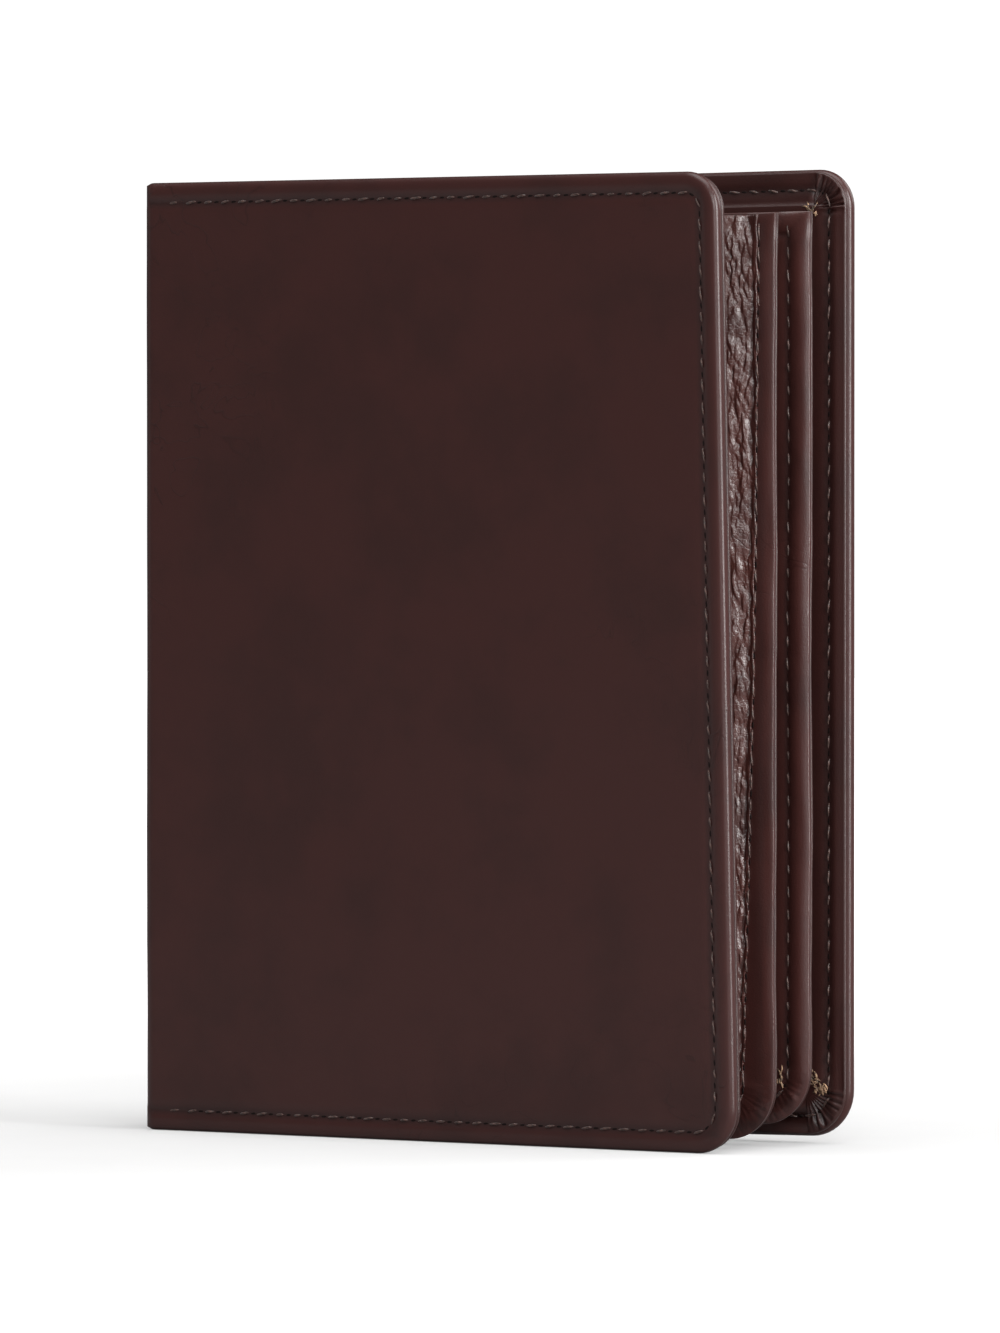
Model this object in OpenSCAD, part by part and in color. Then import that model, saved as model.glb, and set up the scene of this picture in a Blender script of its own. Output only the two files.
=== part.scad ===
// Trifold wallet in leather: two covers and a spine under one wrap, with a coin pouch
// leaf and a card leaf hinged at the spine. It stands on the covers' lower edges, with
// the spine at -X, the front cover facing -Y and the back cover's face square to +Y.

/* [Covers] */
// Width of each cover, from the spine to the fore-edge
cover_w = 95; // [78:1:125]
// Height of the covers
cover_h = 125; // [100:1:160]
// Angle between the two covers as the wallet stands
rest_open = 5; // [3:0.5:12]
// Corner radius at the top of each cover's fore-edge
top_r = 5; // [2:0.5:8]
// Corner radius at the bottom of each cover's fore-edge
foot_r = 6; // [2:0.5:8]
// Width of the leather that is turned over the board's edge
turn_in = 7; // [5:0.5:10]
// Distance from the outer corner in to each spine crease
crease_in = 0.5; // [0.4:0.1:0.8]
// Distance from a crease to the nearest stiff leather
crease_clear = 0.6; // [0.5:0.1:1.2]

/* [Layers] */
// Thickness of the outer leather
skin_t = 0.8; // [0.6:0.1:1.2]
// Thickness of the stiffening boards
board_t = 0.4; // [0.3:0.1:0.8]
// Thickness of the skived leather where it is turned in
turn_t = 0.6; // [0.4:0.1:0.9]
// Thickness of the leather panel inside each cover
panel_t = 0.7; // [0.5:0.1:1]
// Thickness of the lining cloth
cloth_t = 0.15; // [0.1:0.05:0.3]
// Thickness of the leather that lines the spine
spine_lining_t = 0.8; // [0.6:0.1:1.2]
// Air left between neighbouring leaves and covers at the spine
page_gap = 1.7; // [1.3:0.1:3]

/* [Seams] */
// Distance from an edge to its seam
seam_inset = 2.7; // [2:0.1:4]
// Distance from one stitch to the next
stitch_pitch = 2.9; // [2:0.1:4]
// Length of each stitch
stitch_len = 2.1; // [1.2:0.1:3]
// Thickness of the thread
thread_d = 0.4; // [0.3:0.05:0.5]

/* [Leaves] */
// Thickness of the leather on each face of a leaf
leaf_skin_t = 0.8; // [0.6:0.1:1.2]
// Thickness of the board inside a leaf
leaf_board_t = 0.6; // [0.5:0.1:1]
// How far the leaves end below the tops of the covers
leaf_drop = 5.4; // [3:0.1:12]
// How far the leaves stop short of the back cover's fore-edge
leaf_setback = 1; // [0.5:0.1:4]
// Height of the pouch leaf's lower edge
pouch_leaf_foot = 1.4; // [1:0.1:5]
// Height of the card leaf's lower edge
card_leaf_foot = 2.2; // [1:0.1:5]
// Corner radius at the foot of the leaves
leaf_foot_r = 7; // [3:0.5:10]
// Lean of the pouch leaf towards the front, from square to the spine
pouch_leaf_lean = 2; // [0:0.5:2.5]
// Lean of the card leaf towards the front, from square to the spine
card_leaf_lean = 0; // [0:0.5:1]
// Length of bare hinge leather between the spine and the stiff part of a leaf
hinge_bare = 2.6; // [2.4:0.1:4]
// Length of hinge leather that is glued inside a leaf
hinge_tail = 4.4; // [3:0.1:8]
// Gap between a leaf's hinge and the lining of the spine
hinge_clear = 0.2; // [0.15:0.05:0.3]

/* [Card slots] */
// Thickness of the leather of a slot
slot_t = 0.45; // [0.35:0.05:0.7]
// Air between the layers where two slots overlap
slot_air = 0.2; // [0.2:0.05:0.4]
// Height from one slot's mouth to the next
slot_step = 13; // [10:0.5:16]
// How far a slot's leather runs down behind the next
slot_tuck = 3; // [2:0.5:4]
// Distance from the top of the leather to the first slot's mouth
slot_first = 14; // [8:0.5:25]
// Distance from the spine edge of a pocket panel to its slots
slot_side = 0.8; // [0.5:0.1:3]

/* [Coin pouch] */
// Depth of the pouch inside
pouch_gap = 3.6; // [3.2:0.1:3.9]
// Thickness of the pouch's front wall
pouch_wall_t = 0.8; // [0.6:0.1:1.2]
// Thickness of the thin, soft leather of the gusset
gusset_t = 0.5; // [0.4:0.1:0.8]
// How far the gusset slopes in from the leaf to the front wall
gusset_run = 4.6; // [3:0.1:8]
// Distance from the leaf's hinge to the gusset
pouch_start = 4.2; // [4:0.1:8]

/* [Press stud] */
// Diameter of the stud's cap
cap_d = 12; // [9:0.5:15]
// Height of the cap's dome
cap_h = 1; // [0.7:0.1:1.2]
// Diameter of the socket's flange
socket_d = 10; // [8:0.5:12]
// Height of the socket
socket_h = 1.7; // [1.3:0.1:1.8]
// Diameter of the stud's knob
knob_d = 3.6; // [3:0.1:4.2]
// Running gap round the knob and round each rivet
stud_clear = 0.15; // [0.1:0.05:0.25]
// Thickness of the stud's own flange
flange_t = 0.5; // [0.4:0.1:0.8]
// Diameter of the rivets through the leather
rivet_d = 2.6; // [2:0.1:3]
// Distance from the pouch's mouth down to the stud
stud_drop = 13; // [9:0.5:25]

/* [Card window] */
// Distance from each end of the leaf's board to the opening in front of the card
window_side = 5.5; // [5.5:0.5:20]
// Height of the opening in front of the card
window_h = 46; // [30:1:50]
// Width of the film glued behind the leather, all round
film_lap = 4; // [3:0.5:4.5]
// Thickness of the clear film
film_t = 0.25; // [0.15:0.05:0.3]
// Distance from the leaf's top to the window
window_drop = 16; // [10:1:30]
// Corner radius of the window
window_r = 2; // [1:0.5:4]

/* [Hidden] */
$fn = 48;
cut = 1;          // how far a cutting shape runs past the face it cuts
fit = 0.3;        // clearance of a sheet that lies inside a turned edge
least_r = 0.3;    // the tightest corner that a sheet is cut to
panel_back = 1.9; // how far the inner panel stands back from the board's end
spine_slope = 1.6; // how far the gusset slopes in at the spine, steeper there to clear the hinge
collar_t = 1.5;   // wall of the socket's collar
head_back = 1;    // how far the rivet's head stands back from the socket's edge
slots_front = 4;
slots_leaf = 3;

skin_colour = "#3b2624";
inner_colour = "#38211f";
cloth_colour = "#2b1d1b";
board_colour = "#a89a86";
thread_colour = "#4a302b";
metal_colour = "#a58a55";
film_colour = [0.85, 0.87, 0.88, 0.35];

// Thicknesses that the layers add up to
cover_t = skin_t + board_t + turn_t + panel_t;
spine_t = skin_t + board_t + spine_lining_t;
leaf_t = 2 * leaf_skin_t + leaf_board_t;
slot_lift = slot_t + slot_air;
slots_t = slot_lift + slot_t;
pouch_t = pouch_gap + pouch_wall_t;

// Where each layer of the closed wallet lies, in from the back cover's outer face
card_leaf_d = cover_t + page_gap + slots_t + leaf_t / 2;
pouch_leaf_d = card_leaf_d + leaf_t + page_gap + slots_t;
spine_w = pouch_leaf_d + leaf_t / 2 + pouch_t + page_gap + slots_t + cover_t;

// Where the stiff pieces start, out from the spine
skin_start = crease_in + crease_clear;
board_start = spine_t + crease_clear;
panel_start = board_start + panel_back;
hinge_x = spine_t + hinge_clear + leaf_board_t / 2;

leaf_w = cover_w - leaf_setback - hinge_x;
leaf_top = cover_h - leaf_drop;
panel_edge = 0.3;  // how far the inner panel's edge stands back from the cover's
groove_w = 2 * thread_d;

// Crease axes, and the middle of the standing wallet, which is the part's origin
function spun(p, angle) = [
    p.x * cos(angle) - p.y * sin(angle),
    p.x * sin(angle) + p.y * cos(angle)
];
half_open = rest_open / 2;
back_axis = [crease_in, -crease_in];
front_axis = back_axis + spun([0, 2 * crease_in - spine_w], -half_open);
spine_corner = back_axis + spun([-crease_in, crease_in + skin_start - spine_w], -half_open);
front_corner = front_axis + spun([cover_w - crease_in, -crease_in], -rest_open);
origin = [(spine_corner.x + cover_w) / 2, front_corner.y / 2];

// ---- Frames: each body is drawn closed and square, then opened to where it stands ----

module at_back() {
    translate(-origin) mirror([0, 1, 0]) children();
}

module at_spine() {
    translate(back_axis - origin) rotate([0, 0, -half_open]) translate(-back_axis) children();
}

module at_front() {
    translate(front_axis - origin) rotate([0, 0, -rest_open]) translate([-crease_in, -crease_in, 0]) children();
}

module at_pouch_leaf() {
    at_spine() translate([hinge_x, -pouch_leaf_d, 0]) rotate([0, 0, -pouch_leaf_lean]) children();
}

module at_card_leaf() {
    at_spine() translate([hinge_x, -card_leaf_d, 0]) rotate([0, 0, -card_leaf_lean]) children();
}

// ---- Shared shapes ----

// Flat outline in x and z, square at the spine and rounded at the two fore-edge corners
module outline(x0, x1, z0, z1, low_r, high_r) {
    low = max(low_r, least_r);
    high = max(high_r, least_r);
    translate([x0, z0 + low]) square([x1 - x0, z1 - z0 - low - high]);
    translate([x0, z0]) square([x1 - x0 - low, low]);
    translate([x0, z1 - high]) square([x1 - x0 - high, high]);
    translate([x1 - low, z0 + low]) circle(low);
    translate([x1 - high, z1 - high]) circle(high);
}

// A sheet of the given outline, between two distances y
module sheet(y0, y1) {
    translate([0, y1, 0]) rotate([90, 0, 0]) linear_extrude(y1 - y0) children();
}

// The cover's own outline, drawn in by an inset on its three free sides
module cover_outline(start, inset) {
    outline(start, cover_w - inset, inset, cover_h - inset, foot_r - inset, top_r - inset);
}

// A leaf's outline: only its fore-edge and foot are drawn in, as its top is a cut edge
module leaf_outline(start, inset, foot) {
    outline(start, leaf_w - inset, foot + inset, leaf_top, leaf_foot_r - inset, least_r);
}

// One stitch, lying along z in a groove that is as deep as the thread is thick
module stitch() {
    cylinder(h = stitch_len, d = thread_d, center = true, $fn = 16);
}

// A straight row of stitches that starts at a point and runs along x or along z
module stitch_row(from, length, upright) {
    count = floor(length / stitch_pitch);
    spare = (length - (count - 1) * stitch_pitch) / 2;
    for (i = [0 : count - 1]) {
        along = spare + i * stitch_pitch;
        translate(from + (upright ? [0, 0, along] : [along, 0, 0])) rotate([0, upright ? 0 : 90, 0]) stitch();
    }
}

// ---- Covers, drawn with the outer face at y = 0 and the inside towards +y ----

// Outer leather: the face, the wall round the board's edge and the turned-in border
module cover_leather() {
    difference() {
        sheet(0, cover_t - panel_t) cover_outline(skin_start, 0);
        sheet(skin_t, skin_t + board_t) cover_outline(-cut, skin_t);
        sheet(skin_t, cover_t) cover_outline(-cut, turn_in);
        sheet(-cut, thread_d) difference() {
            cover_outline(board_start, seam_inset - groove_w / 2);
            cover_outline(board_start, seam_inset + groove_w / 2);
        }
    }
}

module cover_board() {
    sheet(skin_t, skin_t + board_t) cover_outline(board_start, skin_t);
}

module cover_lining() {
    sheet(skin_t + board_t, skin_t + board_t + cloth_t) cover_outline(board_start, turn_in + fit);
}

// Inner panel: sewn on three sides, so the compartment behind it opens at the spine
module cover_panel() {
    sheet(cover_t - panel_t, cover_t) cover_outline(panel_start, panel_edge);
}

module cover_seam() {
    y = thread_d / 2;
    start = board_start + 1;
    edge = cover_w - seam_inset;
    stitch_row([start, y, seam_inset], cover_w - foot_r - start, false);
    stitch_row([start, y, cover_h - seam_inset], cover_w - top_r - start, false);
    stitch_row([edge, y, foot_r], cover_h - foot_r - top_r, true);
}

// ---- Card slots: shingles of leather on a face at y = 0, with their mouths upwards ----

// One slot from its mouth down to its foot; the mouth stands off for the card
module card_slot(x0, x1, mouth, foot) {
    translate([x0, 0, 0]) rotate([90, 0, 90]) linear_extrude(x1 - x0)
        polygon([[0, foot], [slot_t, foot], [slot_lift + slot_t, mouth], [slot_lift, mouth]]);
}

// Slot number i of a panel, whose last slot runs down to the panel's foot
module panel_slot(i, count, x0, x1, top, foot) {
    mouth = top - slot_first - (i - 1) * slot_step;
    card_slot(x0, x1, mouth, i < count ? mouth - slot_step - slot_tuck : foot);
}

module front_slot(i) {
    inset = seam_inset + panel_edge;
    color(inner_colour) at_front() translate([0, cover_t, 0])
        panel_slot(i, slots_front, panel_start + slot_side, cover_w - inset, cover_h, inset);
}

module leaf_slot(i, foot) {
    color(inner_colour) translate([0, leaf_t / 2, 0])
        panel_slot(i, slots_leaf, hinge_bare + slot_side, leaf_w - seam_inset, leaf_top, foot + leaf_foot_r);
}

// ---- Leaves, drawn with the hinge axis at x = 0 and the front towards -y ----

// Hinge leather: a round bead at the axis and a tail that is glued inside the leaf
module leaf_hinge(foot) {
    color(inner_colour) {
        translate([0, 0, foot]) cylinder(h = leaf_top - foot, d = leaf_board_t);
        translate([0, -leaf_board_t / 2, foot]) cube([hinge_bare + hinge_tail, leaf_board_t, leaf_top - foot]);
    }
}

module leaf_board(foot) {
    sheet(-leaf_board_t / 2, leaf_board_t / 2) leaf_outline(hinge_bare + hinge_tail, leaf_skin_t, foot);
}

// Front leather: the face, and the wall that wraps the board's edge
module leaf_front(foot) {
    difference() {
        sheet(-leaf_t / 2, leaf_board_t / 2) leaf_outline(hinge_bare, 0, foot);
        translate([0, 0, cut]) sheet(-leaf_board_t / 2, leaf_t) leaf_outline(-cut, leaf_skin_t, foot - cut);
        sheet(-leaf_board_t / 2, leaf_t) leaf_outline(-cut, leaf_skin_t, foot);
        translate([-cut, -leaf_board_t / 2, foot - cut]) cube([cut + hinge_bare + hinge_tail, leaf_t, leaf_top]);
        sheet(-leaf_t, thread_d - leaf_t / 2) difference() {
            leaf_outline(hinge_bare + hinge_tail, seam_inset - groove_w / 2, foot);
            leaf_outline(hinge_bare + hinge_tail - cut, seam_inset + groove_w / 2, foot);
        }
    }
}

module leaf_rear(foot) {
    sheet(leaf_board_t / 2, leaf_t / 2) leaf_outline(hinge_bare, 0, foot);
}

module leaf_seam(foot) {
    y = (thread_d - leaf_t) / 2;
    start = hinge_bare + hinge_tail + 1;
    low = foot + leaf_foot_r;
    stitch_row([start, y, foot + seam_inset], leaf_w - leaf_foot_r - start, false);
    stitch_row([leaf_w - seam_inset, y, low], leaf_top - 1 - low, true);
}

// ---- Coin pouch on the front of its leaf ----

pouch_foot = pouch_leaf_foot + seam_inset + groove_w;
pouch_end = leaf_w - seam_inset - groove_w;
wall_end = pouch_end - gusset_run;
wall_foot = pouch_foot + gusset_run;
wall_start = pouch_start + spine_slope;
stud_x = (wall_start + wall_end) / 2;
stud_z = leaf_top - stud_drop;

// A block that narrows from the leaf to the front wall, drawn in by an inset
module pouch_block(inset, over) {
    hull() {
        sheet(-0.01, 0) translate([pouch_start + inset, pouch_foot + inset])
            square([pouch_end - pouch_start - 2 * inset, leaf_top - pouch_foot - inset + over]);
        sheet(-pouch_gap, 0.01 - pouch_gap) translate([wall_start + inset, wall_foot + inset])
            square([wall_end - wall_start - 2 * inset, leaf_top - wall_foot - inset + over]);
    }
}

module pouch_gusset() {
    color(skin_colour) at_pouch_leaf() translate([0, -leaf_t / 2, 0]) difference() {
        pouch_block(0, 0);
        pouch_block(gusset_t, cut);
        translate([wall_start + gusset_t, -pouch_gap - cut, wall_foot + gusset_t])
            cube([wall_end - wall_start - 2 * gusset_t, 2 * cut, leaf_top]);
        translate([pouch_start + gusset_t, -cut, pouch_foot + gusset_t])
            cube([pouch_end - pouch_start - 2 * gusset_t, 2 * cut, leaf_top]);
    }
}

// Runs a hole along y through the pouch leaf's front leather or the pouch's front wall
module stud_hole() {
    translate([stud_x, cut - leaf_t / 2, stud_z]) rotate([90, 0, 0])
        cylinder(h = pouch_t + leaf_t, d = rivet_d + 2 * stud_clear);
}

module pouch_front_wall() {
    color(skin_colour) at_pouch_leaf() difference() {
        translate([wall_start, -leaf_t / 2 - pouch_t, wall_foot])
            cube([wall_end - wall_start, pouch_wall_t, leaf_top - wall_foot]);
        stud_hole();
    }
}

module pouch_lining() {
    lap = gusset_t + fit;
    color(cloth_colour) at_pouch_leaf() difference() {
        translate([pouch_start + lap, -leaf_t / 2 - cloth_t, pouch_foot + lap])
            cube([pouch_end - pouch_start - 2 * lap, cloth_t, leaf_top - fit - pouch_foot - lap]);
        translate([stud_x, cut - leaf_t / 2, stud_z]) rotate([90, 0, 0])
            cylinder(h = 2 * cut, d = socket_d + 2 * fit);
    }
}

// ---- Press stud, turned round an axis along y; each piece is drawn with y as its height ----

module on_stud(y) {
    at_pouch_leaf() translate([stud_x, y, stud_z]) rotate([90, 0, 0]) children();
}

cap_rivet = pouch_wall_t + socket_h / 2;   // length of the cap's rivet, through the wall

// Domed cap with its rivet
module stud_cap() {
    rim = 0.3;
    color(metal_colour) on_stud(-leaf_t / 2 - pouch_t) {
        rotate_extrude() polygon([
            [0, 0], [cap_d / 2 - rim, 0], [cap_d / 2, rim],
            for (a = [0 : 15 : 90]) [cap_d / 2 * cos(a), rim + (cap_h - rim) * sin(a)]
        ]);
        translate([0, 0, -cap_rivet]) cylinder(h = cap_rivet, d = rivet_d);
    }
}

// Socket inside the front wall: a flange and a collar that grips the knob
module stud_socket() {
    color(metal_colour) on_stud(-leaf_t / 2 - pouch_gap) mirror([0, 0, 1]) difference() {
        union() {
            cylinder(h = flange_t, d = socket_d);
            cylinder(h = socket_h, d = knob_d + 2 * collar_t);
        }
        translate([0, 0, -cut]) cylinder(h = socket_h + 2 * cut, d = knob_d + 2 * stud_clear);
    }
}

// Knob on the leaf's own leather
module stud_knob() {
    bore = rivet_d + 2 * stud_clear;
    color(metal_colour) on_stud(-leaf_t / 2) difference() {
        union() {
            cylinder(h = flange_t, d = socket_d);
            cylinder(h = pouch_gap - cap_rivet + pouch_wall_t - stud_clear, d = knob_d);
        }
        translate([0, 0, -cut]) cylinder(h = cut + flange_t, d = bore);
    }
}

// Rivet that holds the knob from behind the leather
module stud_rivet() {
    head = leaf_board_t / 2;
    color(metal_colour) on_stud(-leaf_board_t / 2) {
        translate([0, 0, -head]) cylinder(h = head, d = socket_d - 2 * head_back);
        cylinder(h = leaf_skin_t + flange_t, d = rivet_d);
    }
}

// ---- Card window in the card leaf ----

window_x = hinge_bare + hinge_tail + window_side;
window_w = leaf_w - window_side - window_x;
window_z = leaf_top - window_drop - window_h;

// The window's outline, grown all round by a lap
module window_outline(lap) {
    r = window_r;
    translate([window_x - lap, window_z - lap + r]) square([window_w + 2 * lap, window_h + 2 * lap - 2 * r]);
    translate([window_x - lap + r, window_z - lap]) square([window_w + 2 * lap - 2 * r, window_h + 2 * lap]);
    for (x = [window_x - lap + r, window_x + window_w + lap - r])
        for (z = [window_z - lap + r, window_z + window_h + lap - r])
            translate([x, z]) circle(r);
}

// ---- Nodes ----

module back_outer_leather() { color(skin_colour) at_back() cover_leather(); }
module back_board() { color(board_colour) at_back() cover_board(); }
module back_compartment_lining() { color(cloth_colour) at_back() cover_lining(); }
module back_inner_panel() { color(inner_colour) at_back() cover_panel(); }
module back_seam() { color(thread_colour) at_back() cover_seam(); }

module spine_outer_leather() {
    color(skin_colour) at_spine() translate([0, skin_start - spine_w, 0])
        cube([skin_t, spine_w - 2 * skin_start, cover_h]);
}

module spine_board() {
    color(board_colour) at_spine() translate([skin_t, board_start - spine_w, skin_t])
        cube([board_t, spine_w - 2 * board_start, cover_h - 2 * skin_t]);
}

module spine_lining() {
    color(inner_colour) at_spine() translate([skin_t + board_t, board_start - spine_w, panel_edge])
        cube([spine_lining_t, spine_w - 2 * board_start, cover_h - 2 * panel_edge]);
}

module front_outer_leather() { color(skin_colour) at_front() cover_leather(); }
module front_board() { color(board_colour) at_front() cover_board(); }
module front_compartment_lining() { color(cloth_colour) at_front() cover_lining(); }
module front_inner_panel() { color(inner_colour) at_front() cover_panel(); }
module front_seam() { color(thread_colour) at_front() cover_seam(); }

module pouch_leaf_hinge() { at_pouch_leaf() leaf_hinge(pouch_leaf_foot); }

module pouch_leaf_board() {
    color(board_colour) at_pouch_leaf() difference() {
        leaf_board(pouch_leaf_foot);
        translate([stud_x, 0, stud_z]) rotate([90, 0, 0]) cylinder(h = leaf_t, d = socket_d - 2 * head_back + 2 * fit);
    }
}

module pouch_leaf_front_leather() {
    color(skin_colour) at_pouch_leaf() difference() {
        leaf_front(pouch_leaf_foot);
        stud_hole();
    }
}

module pouch_leaf_rear_leather() { color(inner_colour) at_pouch_leaf() leaf_rear(pouch_leaf_foot); }
module pouch_leaf_seam() { color(thread_colour) at_pouch_leaf() leaf_seam(pouch_leaf_foot); }

module card_leaf_hinge() { at_card_leaf() leaf_hinge(card_leaf_foot); }

module card_leaf_board() {
    color(board_colour) at_card_leaf() difference() {
        leaf_board(card_leaf_foot);
        sheet(-leaf_board_t, film_t + fit / 3 - leaf_board_t / 2) window_outline(film_lap + fit);
    }
}

module card_leaf_front_leather() {
    color(skin_colour) at_card_leaf() difference() {
        leaf_front(card_leaf_foot);
        sheet(-leaf_t, leaf_t) window_outline(0);
    }
}

module card_leaf_rear_leather() { color(inner_colour) at_card_leaf() leaf_rear(card_leaf_foot); }
module card_leaf_seam() { color(thread_colour) at_card_leaf() leaf_seam(card_leaf_foot); }

module card_window() {
    color(film_colour) at_card_leaf() sheet(-leaf_board_t / 2, film_t - leaf_board_t / 2) window_outline(film_lap);
}

back_outer_leather();
back_board();
back_compartment_lining();
back_inner_panel();
back_seam();
spine_outer_leather();
spine_board();
spine_lining();
front_outer_leather();
front_board();
front_compartment_lining();
front_inner_panel();
front_slot(1);  // front_card_slot_1
front_slot(2);  // front_card_slot_2
front_slot(3);  // front_card_slot_3
front_slot(4);  // front_card_slot_4
front_seam();
pouch_leaf_hinge();
pouch_leaf_board();
pouch_leaf_front_leather();
pouch_leaf_rear_leather();
at_pouch_leaf() leaf_slot(1, pouch_leaf_foot);  // pouch_leaf_slot_1
at_pouch_leaf() leaf_slot(2, pouch_leaf_foot);  // pouch_leaf_slot_2
at_pouch_leaf() leaf_slot(3, pouch_leaf_foot);  // pouch_leaf_slot_3
pouch_leaf_seam();
pouch_lining();
pouch_gusset();
pouch_front_wall();
stud_cap();
stud_socket();
stud_knob();
stud_rivet();
card_leaf_hinge();
card_leaf_board();
card_leaf_front_leather();
card_leaf_rear_leather();
at_card_leaf() leaf_slot(1, card_leaf_foot);  // card_leaf_slot_1
at_card_leaf() leaf_slot(2, card_leaf_foot);  // card_leaf_slot_2
at_card_leaf() leaf_slot(3, card_leaf_foot);  // card_leaf_slot_3
card_leaf_seam();
card_window();
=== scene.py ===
"""A trifold wallet in smooth dark leather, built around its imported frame: the wrap, the inside
panels, two hinged leaves, the coin pouch, the card slots, the seams, and the studio."""

import math
import random
from types import SimpleNamespace

import bmesh
import bpy
from bpy.props import FloatProperty, FloatVectorProperty, PointerProperty
from mathutils import Matrix, Vector, noise


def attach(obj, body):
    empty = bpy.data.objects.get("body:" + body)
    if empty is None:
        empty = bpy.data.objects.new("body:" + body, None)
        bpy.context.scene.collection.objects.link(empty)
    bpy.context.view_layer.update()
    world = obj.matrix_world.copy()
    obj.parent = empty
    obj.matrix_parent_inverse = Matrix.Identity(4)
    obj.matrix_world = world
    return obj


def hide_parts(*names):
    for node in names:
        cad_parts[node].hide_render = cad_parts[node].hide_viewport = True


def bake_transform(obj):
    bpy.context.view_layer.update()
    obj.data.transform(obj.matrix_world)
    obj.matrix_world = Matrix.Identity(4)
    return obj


bl_info = {
    "name": "Trifold leather wallet",
    "version": (1, 0, 0),
    "blender": (4, 5, 0),
    "location": "3D View > Sidebar > Wallet",
    "description": "Builds a trifold wallet with a coin pouch, card slots and sewn seams",
    "category": "Add Mesh",
}

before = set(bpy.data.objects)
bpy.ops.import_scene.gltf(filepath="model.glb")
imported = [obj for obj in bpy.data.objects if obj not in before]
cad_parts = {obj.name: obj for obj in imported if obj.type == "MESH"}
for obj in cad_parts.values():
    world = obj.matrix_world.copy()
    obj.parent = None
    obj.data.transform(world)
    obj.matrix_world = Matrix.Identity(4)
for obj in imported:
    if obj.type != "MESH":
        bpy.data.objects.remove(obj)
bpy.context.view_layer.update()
MM = 0.001
LAST = 1e-4  # smallest step between rings, in millimetres

# How the wallet has settled as it stands, in millimetres
BACK_LIFT = 0.95  # rise of the back cover's fore-edge
FRONT_OPEN, FRONT_TWIST = 0.6, 0.85  # how far the front cover stands open, and its corners turn
LEAF_LIFT = (0.0035, 0.0075)  # how steeply the pouch leaf and the card leaf climb

# Sizes that belong to one piece, in millimetres
PANEL_START, PANEL_EDGE = 4.5, 0.3  # where a cover's panel starts, and how far it stays in from the edge
POCKET_TOP, POCKET_RISE = 120.4, 0.24  # the back pocket's mouth, and how far the pocket stands off
LINING_DEPTH, BOARD_DEPTH = 1.28, 0.99  # where a cover's cloth and board lie, in from its outer face
SPINE_LINING = 2.6  # how far the spine's lining stays in from its two sides
LEAF_START = 2.6  # where a leaf's leathers start, out from its fold
WINDOW = (12.5, 86, 57.6, 103.6)  # the card window's opening: left, right, foot and top
ROLL_FROM = 60  # where on the pouch leaf the gusset's line starts to draw in
GUSSET_SKIN = 0.32
POUCH_WALL = (5.8, 83.9, 9.2)  # the pouch's front wall: left, right and foot
POUCH_HEM = 1.9
SEAM_START = 3.6  # where a cover's seam starts, out from the spine


def length(name, description, millimetres):
    """A length property, shown in the scene's units."""
    return FloatProperty(name=name, description=description, default=millimetres * MM,
                         min=0.0, precision=5, unit="LENGTH")


def colour(name, description, rgb):
    """A colour property in linear values."""
    return FloatVectorProperty(name=name, description=description, default=rgb,
                               size=3, min=0.0, max=1.0, subtype="COLOR")


class WalletSizes(bpy.types.PropertyGroup):
    """Sizes of the wallet, the same as the frame's own."""

    cover_width: length("Cover width", "From the spine to the fore-edge", 95)
    cover_height: length("Cover height", "Height of both covers", 125)
    spine_width: length("Spine width", "Between the two covers' outer faces", 22.2)
    top_radius: length("Top corner", "Radius of a cover's upper corner", 5)
    foot_radius: length("Foot corner", "Radius of a cover's lower corner", 6)
    fold_radius: length("Fold radius", "Radius of the leather round the spine's corners", 1.9)
    crease: length("Crease depth", "From the outer corner in to the crease", 0.5)
    skin: length("Leather thickness", "Thickness of the outer leather", 0.8)
    cover_thickness: length("Cover thickness", "All layers of a cover together", 2.5)
    panel: length("Panel thickness", "Thickness of the panel inside a cover", 0.7)
    leaf_width: length("Leaf width", "From a leaf's fold to its fore-edge", 92.1)
    leaf_thickness: length("Leaf thickness", "All layers of a leaf together", 2.2)
    leaf_drop: length("Leaf drop", "From the cover's top down to a leaf's top", 5.4)
    leaf_radius: length("Leaf corner", "Radius of a leaf's lower corner", 7)
    pouch_depth: length("Pouch depth", "Depth of the coin pouch inside", 3.6)
    seam_inset: length("Seam inset", "From an edge in to its seam", 2.7)
    stitch_pitch: length("Stitch pitch", "From one stitch to the next", 2.9)
    stitch_length: length("Stitch length", "Length of a stitch", 2.1)
    thread: length("Thread", "Thickness of the thread", 0.4)
    slot_step: length("Slot step", "Height from one card slot to the next", 13)
    rest_open: FloatProperty(name="Opening", description="Angle between the covers as it stands",
                             default=math.radians(5), subtype="ANGLE")


class WalletColours(bpy.types.PropertyGroup):
    """Colours of the wallet's materials."""

    calf: colour("Calf", "Polished outer leather", (0.043, 0.0128, 0.0112))
    # The deep colour is also what the painted shade along creases and in seam grooves darkens towards
    calf_deep: colour("Calf, deep", "Leather where the dye has pooled", (0.019, 0.0062, 0.0056))
    leaf: colour("Leaf leather", "Leather rolled over the leaves", (0.052, 0.0165, 0.0142))
    inner: colour("Inner leather", "Leather inside the wallet", (0.034, 0.0105, 0.0090))
    soft: colour("Soft leather", "Thin crinkled leather of the gusset", (0.058, 0.0190, 0.0155))
    raw: colour("Raw edge", "Undyed fibres at a cut corner", (0.22, 0.135, 0.080))
    thread: colour("Thread", "Sewing thread", (0.080, 0.040, 0.032))
    lining: colour("Lining", "Twill lining cloth", (0.030, 0.0150, 0.0130))
    board: colour("Board", "Stiffening board", (0.36, 0.30, 0.22))
    brass: colour("Brass", "Press stud", (0.46, 0.33, 0.15))


def turn(degrees):
    """A turn about the upright axis."""
    return Matrix.Rotation(math.radians(degrees), 4, "Z")


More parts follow.
